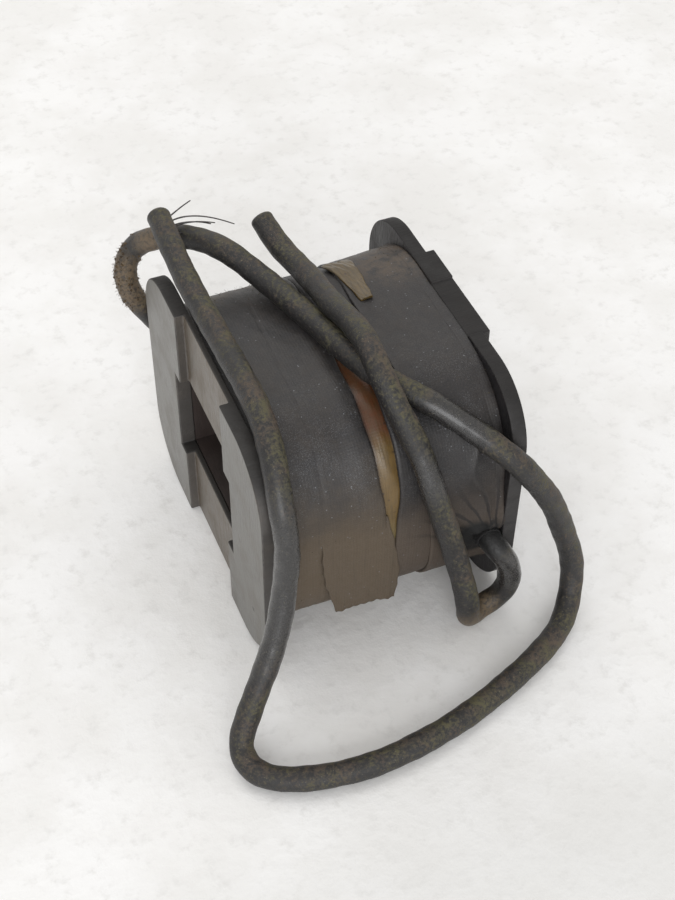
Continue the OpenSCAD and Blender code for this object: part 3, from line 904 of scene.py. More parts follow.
@dataclass(frozen=True)
class Wrap:
    """One turn of sheet round a section, with its own borders and lift."""

    name: str
    section: Section
    start: Callable[[np.ndarray, np.ndarray], np.ndarray]
    end: Callable[[np.ndarray, np.ndarray], np.ndarray]
    lift: Field
    thickness: float
    across: int = 56
    step: float = 0.4
    span: tuple[float, float] | None = None

    def mesh(self) -> bpy.types.Mesh:
        """Builds the closed shell.

        Returns:
            The mesh, in metres, with UVs that follow the sheet.
        """
        closed = self.span is None
        low, high = (0.0, self.section.round) if closed else self.span
        count = max(8, int((high - low) / self.step))
        s = np.linspace(low, high, count, endpoint=not closed)
        y, z, ny, nz = self.section.at(s)
        x0, x1 = self.start(s, z), self.end(s, z)
        u = np.linspace(0, 1, self.across)
        x = x0[:, None] + (x1 - x0)[:, None] * u[None, :]
        rows = np.repeat(s[:, None], self.across, axis=1)
        out = self.lift(rows, x)
        edge = np.minimum(x - x0[:, None], x1[:, None] - x)
        out = out - self.thickness * 0.35 * (1 - smooth_step(edge, 0.0, self.thickness * 0.6))
        outer = np.stack([x, y[:, None] + ny[:, None] * out, z[:, None] + nz[:, None] * out], -1)
        inner_out = out[:, ::-1] - self.thickness
        inner = np.stack(
            [x[:, ::-1], y[:, None] + ny[:, None] * inner_out, z[:, None] + nz[:, None] * inner_out], -1
        )
        inner = inner[:, [0, self.across // 2, -1]]
        points = np.concatenate([outer, inner], axis=1)
        uv = np.stack([rows, x], -1)
        uv = np.concatenate([uv, uv[:, ::-1][:, [0, self.across // 2, -1]]], axis=1) * MM
        mesh = grid_mesh(self.name, points, uv, closed, False)
        if not closed:
            mesh = self.closed_ends(mesh, count, points.shape[1])
        return recalculated(mesh)

    @staticmethod
    def closed_ends(mesh: bpy.types.Mesh, rows: int, cols: int) -> bpy.types.Mesh:
        """Closes the two cut ends of an open shell.

        Args:
            mesh: the shell.
            rows: its rows.
            cols: its points per row.

        Returns:
            The same mesh with both ends filled.
        """
        bm = bmesh.new()
        bm.from_mesh(mesh)
        bm.verts.ensure_lookup_table()
        for row in (0, rows - 1):
            ring = [bm.verts[row * cols + j] for j in range(cols)]
            bmesh.ops.triangulate(bm, faces=[bm.faces.new(ring)])
        bm.to_mesh(mesh)
        bm.free()
        return mesh


# ---------------------------------------------------------------- growth trees


class Kind(Enum):
    """What a scatter tree grows on a surface."""

    FIBRE = "fibre"
    GRAIN = "grain"


def geometry_tree(name: str, sizes: dict[str, float]) -> tuple[Graph, bpy.types.Node, bpy.types.Node]:
    """Starts a geometry node tree with a geometry input, named sizes and a material.

    Args:
        name: the tree's name.
        sizes: default value of each named size.

    Returns:
        The graph, its input node and its output node.
    """
    tree = bpy.data.node_groups.new(name, "GeometryNodeTree")
    tree.interface.new_socket("Geometry", in_out="INPUT", socket_type="NodeSocketGeometry")
    for key, value in sizes.items():
        tree.interface.new_socket(key, in_out="INPUT", socket_type="NodeSocketFloat").default_value = value
    tree.interface.new_socket("Material", in_out="INPUT", socket_type="NodeSocketMaterial")
    tree.interface.new_socket("Geometry", in_out="OUTPUT", socket_type="NodeSocketGeometry")
    graph = Graph(tree)
    return graph, graph.add("NodeGroupInput"), graph.add("NodeGroupOutput")


def finish_tree(g: Graph, given: bpy.types.Node, out: bpy.types.Node, geometry: object) -> None:
    """Ends a tree in Realize Instances, smooth shading and Set Material.

    Args:
        g: the tree's graph.
        given: its input node.
        out: its output node.
        geometry: the geometry socket to finish.
    """
    real = g.add("GeometryNodeRealizeInstances", {0: geometry})
    smooth = g.add("GeometryNodeSetShadeSmooth", {0: real.outputs[0]})
    painted = g.add(
        "GeometryNodeSetMaterial",
        {"Geometry": smooth.outputs[0], "Material": given.outputs["Material"]},
    )
    g.put(out.inputs[0], painted.outputs[0])


def scatter_tree(kind: Kind) -> bpy.types.NodeTree:
    """Makes the tree that grows fibres or grains where a mesh's "grow" attribute is high.

    Args:
        kind: what grows.

    Returns:
        The tree.
    """
    g, given, out = geometry_tree(
        f"Scatter_{kind.value}", {"Density": 1e6, "Length": 0.001, "Radius": 2e-5, "Lean": 0.9}
    )
    where = g.add("GeometryNodeInputNamedAttribute", {"Name": "grow"}, data_type="FLOAT")
    points = g.add(
        "GeometryNodeDistributePointsOnFaces",
        {"Mesh": given.outputs["Geometry"], "Density": g.math(
            "MULTIPLY", given.outputs["Density"], where.outputs["Attribute"]), "Seed": 7},
    )
    if kind is Kind.FIBRE:
        arc = g.add("GeometryNodeCurveQuadraticBezier", {"Resolution": 4})
        g.put(arc.inputs["Start"], (0.0, 0.0, 0.0))
        middle = g.add("ShaderNodeCombineXYZ", {2: g.math("MULTIPLY", given.outputs["Length"], 0.7)})
        tip = g.add("ShaderNodeCombineXYZ", {
            0: g.math("MULTIPLY", given.outputs["Length"], 0.6), 2: given.outputs["Length"]})
        g.put(arc.inputs["Middle"], middle.outputs[0])
        g.put(arc.inputs["End"], tip.outputs[0])
        ring = g.add("GeometryNodeCurvePrimitiveCircle", {"Resolution": 4})
        g.put(ring.inputs["Radius"], given.outputs["Radius"])
        piece = g.add("GeometryNodeCurveToMesh", {0: arc.outputs[0], "Profile Curve": ring.outputs[0],
                                                  "Fill Caps": True})
    else:
        piece = g.add("GeometryNodeMeshIcoSphere", {"Radius": given.outputs["Radius"], "Subdivisions": 1})
    lean = g.add("FunctionNodeRandomValue", {"Seed": 3}, data_type="FLOAT_VECTOR")
    g.put(lean.inputs[0], (-1.0, -1.0, -1.0))
    way = g.add("ShaderNodeVectorMath", {0: lean.outputs[0]}, operation="SCALE")
    g.put(way.inputs["Scale"], given.outputs["Lean"])
    toward = g.add("ShaderNodeVectorMath", {0: way.outputs[0], 1: points.outputs["Normal"]}, operation="ADD")
    turn = g.add("FunctionNodeAlignRotationToVector", {"Vector": toward.outputs[0]}, axis="Z")
    spin = g.add("FunctionNodeRandomValue", {"Seed": 5}, data_type="FLOAT")
    g.put(spin.inputs[3], 6.28)
    own = g.add("ShaderNodeCombineXYZ", {2: spin.outputs[1]})
    both = g.add("FunctionNodeRotateRotation", {0: turn.outputs[0], 1: own.outputs[0]},
                 rotation_space="LOCAL")
    size = g.add("FunctionNodeRandomValue", {"Seed": 11}, data_type="FLOAT")
    g.put(size.inputs[2], 0.35)
    g.put(size.inputs[3], 1.25)
    placed = g.add(
        "GeometryNodeInstanceOnPoints",
        {"Points": points.outputs["Points"], "Instance": piece.outputs[0],
         "Rotation": both.outputs[0], "Scale": size.outputs[1]},
    )
    finish_tree(g, given, out, placed.outputs[0])
    return g.tree


def sweep_tree() -> bpy.types.NodeTree:
    """Makes the tree that sweeps a round section along a curve and roughens it.

    Returns:
        The tree.
    """
    g, given, out = geometry_tree("Sweep", {"Radius": 0.0015, "Sides": 24.0, "Lumps": 0.0001, "Grain": 500.0})
    ring = g.add("GeometryNodeCurvePrimitiveCircle", {"Radius": given.outputs["Radius"]})
    g.put(ring.inputs["Resolution"], g.add("FunctionNodeFloatToInt", {0: given.outputs["Sides"]}).outputs[0])
    tube = g.add("GeometryNodeCurveToMesh", {0: given.outputs["Geometry"],
                                             "Profile Curve": ring.outputs[0], "Fill Caps": True})
    if "Scale" in tube.inputs:
        g.put(tube.inputs["Scale"], g.add("GeometryNodeInputRadius").outputs[0])
    place = g.add("GeometryNodeInputPosition")
    rough = g.noise(place.outputs[0], given.outputs["Grain"], 3.0, 0.6)
    push = g.math("MULTIPLY", g.math("SUBTRACT", rough, 0.5), given.outputs["Lumps"])
    normal = g.add("GeometryNodeInputNormal")
    offset = g.add("ShaderNodeVectorMath", {0: normal.outputs[0]}, operation="SCALE")
    g.put(offset.inputs["Scale"], push)
    moved = g.add("GeometryNodeSetPosition", {"Geometry": tube.outputs[0], "Offset": offset.outputs[0]})
    finish_tree(g, given, out, moved.outputs[0])
    return g.tree


def coil_tree() -> bpy.types.NodeTree:
    """Makes the tree that winds a thread round a straight root.

    Returns:
        The tree.
    """
    g, given, out = geometry_tree(
        "WoundThread", {"Turns": 5.0, "Radius": 0.0018, "Length": 0.0015, "Thread": 0.0002,
                        "X": 0.0, "Y": 0.0, "Z": 0.0})
    spiral = g.add("GeometryNodeCurveSpiral", {
        "Resolution": 24, "Rotations": given.outputs["Turns"],
        "Start Radius": given.outputs["Radius"], "End Radius": given.outputs["Radius"],
        "Height": given.outputs["Length"]})
    ring = g.add("GeometryNodeCurvePrimitiveCircle", {"Resolution": 8})
    g.put(ring.inputs["Radius"], given.outputs["Thread"])
    thread = g.add("GeometryNodeCurveToMesh", {0: spiral.outputs[0], "Profile Curve": ring.outputs[0],
                                               "Fill Caps": True})
    at = g.add("ShaderNodeCombineXYZ", {0: given.outputs["X"], 1: given.outputs["Y"], 2: given.outputs["Z"]})
    moved = g.add("GeometryNodeTransform", {0: thread.outputs[0], "Translation": at.outputs[0]})
    g.put(moved.inputs["Rotation"], (-math.pi / 2, 0.0, 0.0))
    finish_tree(g, given, out, moved.outputs[0])
    return g.tree


def grown(
    name: str, base: bpy.types.Object, tree: bpy.types.NodeTree, material: bpy.types.Material, **sizes: float
) -> bpy.types.Object:
    """Runs a tree on a base object and keeps the result as a plain mesh.

    Args:
        name: the new piece's name.
        base: the object whose geometry goes into the tree.
        tree: the geometry node tree.
        material: the finish.
        sizes: named inputs, with spaces written as underscores.

    Returns:
        The new object.
    """
    modifier = base.modifiers.new("growth", "NODES")
    modifier.node_group = tree
    for item in tree.interface.items_tree:
        if item.item_type != "SOCKET" or item.in_out != "INPUT":
            continue
        key = item.name.replace(" ", "_")
        if key in sizes:
            modifier[item.identifier] = float(sizes[key])
        elif item.name == "Material":
            modifier[item.identifier] = material
    graph = bpy.context.evaluated_depsgraph_get()
    mesh = bpy.data.meshes.new_from_object(base.evaluated_get(graph), depsgraph=graph)
    base.modifiers.remove(modifier)
    mesh.name = name
    obj = bpy.data.objects.new(name, mesh)
    bpy.context.scene.collection.objects.link(obj)
    if not mesh.materials:
        mesh.materials.append(material)
    return obj


def paint(obj: bpy.types.Object, rule: Callable[[np.ndarray], np.ndarray]) -> None:
    """Writes the "grow" attribute of a mesh.

    Args:
        obj: the object.
        rule: gives the value of each point, from its place in millimetres.
    """
    mesh = obj.data
    places = np.zeros(len(mesh.vertices) * 3, np.float32)
    mesh.vertices.foreach_get("co", places)
    values = np.clip(rule(places.reshape(-1, 3) / MM), 0, 1).astype(np.float32)
    attribute = mesh.attributes.get("grow") or mesh.attributes.new("grow", "FLOAT", "POINT")
    attribute.data.foreach_set("value", values)


class Growth:
    """The geometry node trees, each made once."""

    def __init__(self) -> None:
        """Makes every tree."""
        self.fibres = scatter_tree(Kind.FIBRE)
        self.grains = scatter_tree(Kind.GRAIN)
        self.sweep = sweep_tree()
        self.thread = coil_tree()


# ---------------------------------------------------------------- leads


def smooth_line(points: Sequence[Sequence[float]], spacing: float) -> np.ndarray:
    """Runs one smooth curve through the points.

    Args:
        points: the points of the route, in millimetres.
        spacing: distance between the samples, in millimetres.

    Returns:
        The samples, evenly spaced.
    """
    p = np.array(points, float)
    q = np.vstack([2 * p[0] - p[1], p, 2 * p[-1] - p[-2]])
    fine: list[np.ndarray] = []
    for i in range(1, len(q) - 2):
        p0, p1, p2, p3 = q[i - 1 : i + 3]
        t1 = np.linalg.norm(p1 - p0) ** 0.5
        t2 = t1 + np.linalg.norm(p2 - p1) ** 0.5
        t3 = t2 + np.linalg.norm(p3 - p2) ** 0.5
        for t in np.linspace(t1, t2, 24, endpoint=False):
            a1 = (t1 - t) / t1 * p0 + t / t1 * p1
            a2 = (t2 - t) / (t2 - t1) * p1 + (t - t1) / (t2 - t1) * p2
            a3 = (t3 - t) / (t3 - t2) * p2 + (t - t2) / (t3 - t2) * p3
            b1 = (t2 - t) / t2 * a1 + t / t2 * a2
            b2 = (t3 - t) / (t3 - t1) * a2 + (t - t1) / (t3 - t1) * a3
            fine.append((t2 - t) / (t2 - t1) * b1 + (t - t1) / (t2 - t1) * b2)
    line = np.array([*fine, p[-1]])
    for _ in range(6):
        line[1:-1] = line[1:-1] * 0.5 + (line[:-2] + line[2:]) * 0.25
    along = np.concatenate([[0], np.cumsum(np.linalg.norm(np.diff(line, axis=0), axis=1))])
    samples = np.linspace(0, along[-1], max(4, int(along[-1] / spacing)))
    line = np.stack([np.interp(samples, along, line[:, k]) for k in range(3)], axis=1)
    for _ in range(28):
        line[1:-1] = line[1:-1] * 0.5 + (line[:-2] + line[2:]) * 0.25
    return line


@dataclass
class Lead:
    """One rubber-covered lead, from its root at the wound body to its free tip."""

    name: str
    route: tuple[tuple[float, float, float], ...]
    diameter: float = 3.0
    spacing: float = 0.35
    lumps: float = 0.08
    tucked: float = 1.3
    cut_edge: float = 0.6

    def centreline(self) -> np.ndarray:
        """Returns the smooth line, kept its own radius above the ground."""
        first = np.array(self.route[0], float)
        inside = first - (0, math.copysign(self.tucked, first[1]), 0)
        line = smooth_line((inside, *self.route), self.spacing)
        line[:, 2] = np.maximum(line[:, 2], self.diameter / 2 + 0.05)
        return line

    def build(self, growth: Growth, material: bpy.types.Material, slot: str) -> bpy.types.Object:
        """Args:
            growth: the geometry node trees.
            material: the rubber.
            slot: not used.

        Returns:
            The lead.
        """
        line = self.centreline()
        radius = self.diameter / 2
        cut = self.cut_edge
        back = cut * (1 - np.cos(np.linspace(math.pi / 2, 0.0, 7)))
        along = np.concatenate([[0], np.cumsum(np.linalg.norm(np.diff(line, axis=0), axis=1))])
        body = along[along < along[-1] - cut * 1.1]
        samples = np.concatenate([body, along[-1] - back])
        places = np.stack([np.interp(samples, along, line[:, k]) for k in range(3)], axis=1)
        left = np.clip(along[-1] - samples, 0, cut)
        width = 1 - cut / radius * (1 - np.sqrt(np.maximum(1 - ((cut - left) / cut) ** 2, 0)))
        width = width * (1 + 0.018 * np.sin(samples * 0.9) + 0.014 * np.sin(samples * 2.3 + 1))
        curve = bpy.data.curves.new(self.name + "_line", "CURVE")
        curve.dimensions = "3D"
        spline = curve.splines.new("POLY")
        spline.points.add(len(places) - 1)
        for point, place, size in zip(spline.points, places, width):
            point.co = (*(place * MM), 1.0)
            point.radius = float(size)
        guide = bpy.data.objects.new(self.name + "_guide", curve)
        bpy.context.scene.collection.objects.link(guide)
        lead = grown(self.name + "_rubber", guide, growth.sweep, material, Radius=radius * MM,
                     Sides=24, Lumps=self.lumps * MM, Grain=650)
        bpy.data.objects.remove(guide)
        recalculated(lead.data)
        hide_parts(self.name)
        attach(lead, "root")
        return lead

    def declare(self, lead: bpy.types.Object, pieces: Sequence[bpy.types.Object | str]) -> None:
        """Args:
            lead: not used.
            pieces: not used.
        """
        line = self.centreline() * MM


@dataclass
class Leads:
    """Both leads, their bindings, the bare strands and the dirt on them."""

    left: Lead = field(default_factory=lambda: Lead("left_lead", (
        (-13.3, 19.3, 17), (-13.5, 22.5, 18), (-16, 24.5, 21.5), (-18, 25, 25), (-18.5, 26, 28.5),
        (-17, 26, 32), (-14.5, 22.5, 35.5), (-11.5, 19.5, 37), (-8.5, 14.5, 38), (-5.5, 9.5, 36.5),
        (-3, 2.5, 36), (-1, -5, 36), (0.5, -10, 36), (3, -13, 35), (5.5, -15.5, 34), (8.5, -18, 32),
        (13, -23, 29), (15.5, -23.5, 25.5), (19, -23.5, 19.5), (21.5, -23.5, 13), (23, -24.5, 7.5),
        (22.5, -26, 3.5), (20, -29, 1.6), (15.5, -32, 1.6), (4.5, -36.5, 1.6), (-4, -38.5, 1.6),
        (-12.5, -39, 1.6), (-21, -37, 1.6), (-24, -34.5, 1.6), (-24.5, -31.5, 2.5), (-22.5, -29.5, 5.5),
        (-17.5, -26, 14), (-15.5, -24, 21), (-15, -23.5, 27), (-15, -21.5, 32), (-14.5, -18.5, 35),
        (-14, -13.5, 37), (-14, 1.5, 37), (-14.5, 10.5, 38), (-14.5, 21.5, 40))))
    right: Lead = field(default_factory=lambda: Lead("right_lead", (
        (12.3, -21.5, 13), (12.8, -22.7, 12.3), (14, -23, 10.4), (14.9, -23, 7.5), (15, -23, 4.8),
        (13.8, -22.8, 2.5), (12, -22.7, 1.6), (10.2, -23.2, 1.6), (8.8, -24.3, 2.4), (8.4, -25, 4.8),
        (8.2, -24.3, 7.5), (7.8, -23.5, 10), (7, -22.5, 14), (5.5, -22.5, 19.5), (4, -22, 25),
        (3, -20, 30), (1.5, -17, 34.5), (0.5, -13.5, 38), (0.5, -9.5, 39.5), (0.5, -5, 39), (0, 0, 38),
        (0, 5, 37), (-0.5, 10, 36.5), (-1.5, 13.5, 37), (-2.5, 17.5, 39))))
    strands: tuple[tuple[tuple[float, float, float], ...], ...] = (
        ((-14.4, 20.0, 39.2), (-12.6, 20.4, 39.6), (-10.0, 20.2, 39.4), (-7.4, 19.6, 38.6), (-5.4, 19.0, 37.6)),
        ((-14.4, 19.2, 38.9), (-12.8, 19.6, 39.2), (-11.2, 19.7, 39.1), (-9.2, 19.6, 38.7), (-7.8, 19.4, 38.2)),
        ((-14.2, 20.6, 39.3), (-13.0, 21.0, 39.5), (-12.0, 21.5, 39.9), (-10.8, 22.0, 40.1), (-9.9, 22.4, 40.1)),
        ((-14.4, 19.6, 38.9), (-12.9, 19.9, 39.2), (-11.4, 19.9, 39.0), (-9.6, 19.8, 38.7), (-8.3, 19.5, 38.1)),
        ((-14.4, 18.7, 38.8), (-13.0, 18.9, 38.6), (-11.6, 19.0, 38.0)),
    )

    def build(self, finishes: Finishes, growth: Growth) -> None:
        """Builds both leads with what is on them.

        Args:
            finishes: the materials.
            growth: the geometry node trees.
        """
        left = self.left.build(growth, finishes.left_rubber, "lead_rubber")
        right = self.right.build(growth, finishes.right_rubber, "lead_rubber")
        strands = self.build_strands(finishes, growth)
        threads = []
        for side, node in (("left", "left_lead_binding"), ("right", "right_lead_binding")):
            low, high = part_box(node)
            centre = (low + high) / 2
            threads.append(self.bind_root(side, node, low, high, finishes, growth))
            thread = grown(
                side + "_binding_thread", left, growth.thread, finishes.binding, Turns=3.5,
                Radius=(high.x - low.x) / 2 - 0.0003, Length=high.y - low.y - 0.0002, Thread=0.00012,
                X=centre.x, Y=low.y + 0.0001, Z=centre.z)
            threads.append(thread)
            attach(thread, "root")
            log.info("%s made", thread.name)
        self.grow_dirt(left, right, finishes, growth)
        self.left.declare(left, [strands, *threads[:2], "left_conductor"])
        self.right.declare(right, [*threads[2:], "right_conductor"])

    def bind_root(
        self, side: str, node: str, low: Vector, high: Vector, finishes: Finishes, growth: Growth
    ) -> bpy.types.Object:
        """Makes the dark bound root that holds a lead where it leaves the body.

        Args:
            side: which lead.
            node: the CAD node it stands for.
            low: the node's lowest corner.
            high: the node's highest corner.
            finishes: the materials.
            growth: the geometry node trees.

        Returns:
            The bound root.
        """
        way = -1.0 if side == "right" else 1.0
        inner, outer = (high.y, low.y) if way < 0 else (low.y, high.y)
        curve = bpy.data.curves.new(side + "_root_line", "CURVE")
        curve.dimensions = "3D"
        spline = curve.splines.new("POLY")
        stops = np.linspace(inner - way * 0.0008, outer - way * 0.0001, 9)
        spline.points.add(len(stops) - 1)
        for k, (point, y) in enumerate(zip(spline.points, stops)):
            point.co = ((low.x + high.x) / 2, y, (low.z + high.z) / 2, 1.0)
            point.radius = 1.0 - 0.12 * abs(k - 4) / 4
        guide = bpy.data.objects.new(side + "_root_guide", curve)
        bpy.context.scene.collection.objects.link(guide)
        root = grown(side + "_bound_root", guide, growth.sweep, finishes.binding,
                     Radius=(high.x - low.x) / 2 - 0.0001, Sides=20, Lumps=0.3 * MM, Grain=900)
        bpy.data.objects.remove(guide)
        recalculated(root.data)
        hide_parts(node)
        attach(root, "root")
        log.info("%s made", root.name)
        return root

    def build_strands(self, finishes: Finishes, growth: Growth) -> bpy.types.Object:
        """Sweeps the bare strands that spring from the tip of the left lead.

        Args:
            finishes: the materials.
            growth: the geometry node trees.

        Returns:
            The strands as one piece.
        """
        curve = bpy.data.curves.new("strand_lines", "CURVE")
        curve.dimensions = "3D"
        for route in self.strands:
            line = smooth_line(route, 0.3)
            spline = curve.splines.new("POLY")
            spline.points.add(len(line) - 1)
            for k, (point, place) in enumerate(zip(spline.points, line)):
                point.co = (*(place * MM), 1.0)
                point.radius = 1.0 - 0.35 * k / len(line)
        guide = bpy.data.objects.new("strand_guide", curve)
        bpy.context.scene.collection.objects.link(guide)
        strands = grown("left_lead_bare_strands", guide, growth.sweep, finishes.strand,
                        Radius=0.11 * MM, Sides=8, Lumps=0.02 * MM, Grain=2500)
        bpy.data.objects.remove(guide)
        recalculated(strands.data)
        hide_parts("left_lead_strands")
        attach(strands, "root")
        log.info("left_lead_bare_strands made")
        return strands

    def grow_dirt(
        self, left: bpy.types.Object, right: bpy.types.Object, finishes: Finishes, growth: Growth
    ) -> None:
        """Grows fuzz on the back loop and grit along both leads.

        Args:
            left: the left lead.
            right: the right lead.
            finishes: the materials.
            growth: the geometry node trees.
        """
        def loop(p: np.ndarray) -> np.ndarray:
            """Returns how thick the fuzz is at each point."""
            d = np.linalg.norm(p - np.array([-18.5, 26.0, 28.0]), axis=1)
            outward = smooth_step(-p[:, 0] + p[:, 1] * 0.5, 27.0, 31.5)
            return smooth_step(-d, -7.0, -3.0) * outward

        paint(left, loop)
        fuzz = grown("back_loop_fuzz", left, growth.fibres, finishes.fuzz, Density=7.5e6,
                     Length=0.34 * MM, Radius=0.016 * MM, Lean=1.5)
        clots = grown("back_loop_clots", left, growth.grains, finishes.fuzz, Density=2.2e6,
                      Radius=0.17 * MM, Lean=1.0)
        for piece in (fuzz, clots):
            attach(piece, "root")
        for name, lead in (("left_lead_grit", left), ("right_lead_grit", right)):
            paint(lead, lambda p: 0.25 + 0.75 * smooth_step(
                smooth_noise(3, (p[:, 0], 9.0), (p[:, 1], 11.0), (p[:, 2], 8.0)), 0.0, 0.8))
            grit = grown(name, lead, growth.grains, finishes.grit, Density=5.5e5,
                         Radius=0.042 * MM, Lean=1.0)
            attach(grit, "root")
            log.info("%s: %d faces", name, len(grit.data.polygons))


# ---------------------------------------------------------------- end plates


@dataclass
class EndPlate:
    """A moulded end plate with rounded, worn edges."""

    node: str
    slot: str = "moulded_plate"
    edge: float = 0.22

    def build(self, material: bpy.types.Material) -> bpy.types.Object:
        """Rounds the edges of the plate's solid.

        Args:
            material: the plate's finish.

        Returns:
            The plate.
        """
        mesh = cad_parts[self.node].data.copy()
        mesh.name = self.node + "_moulding"
        bm = bmesh.new()
        bm.from_mesh(mesh)
        bmesh.ops.remove_doubles(bm, verts=bm.verts, dist=1e-6)
        bmesh.ops.dissolve_limit(bm, angle_limit=math.radians(0.5), verts=bm.verts, edges=bm.edges)
        bm.to_mesh(mesh)
        bm.free()
        plate = make_object(self.node + "_moulding", mesh, material)
        bevel = plate.modifiers.new("worn_edges", "BEVEL")
        bevel.width = self.edge * MM
        bevel.segments = 3
        bevel.limit_method = "ANGLE"
        bevel.angle_limit = math.radians(32)
        bevel.harden_normals = True
        graph = bpy.context.evaluated_depsgraph_get()
        rounded = bpy.data.meshes.new_from_object(plate.evaluated_get(graph), depsgraph=graph)
        plate.modifiers.clear()
        plate.data = rounded
        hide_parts(self.node)
        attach(plate, "root")
        log.info("%s: %d faces", plate.name, len(rounded.polygons))
        return plate


# ---------------------------------------------------------------- wound body


def border(*keys: tuple[float, float]) -> Callable[[np.ndarray, np.ndarray], np.ndarray]:
    """Makes a border line from points (distance round the section, x).

    Args:
        keys: the points in order, in millimetres.

    Returns:
        A function of distance and height that gives x.
    """
    at, x = np.array(keys).T

    def line(s: np.ndarray, z: np.ndarray) -> np.ndarray:
        """Returns x along the border, with its small waves."""
        return np.interp(s, at, x) + 0.04 * np.sin(s * 0.9 + at[1]) + 0.02 * np.sin(s * 7.3 + x[0])

    return line


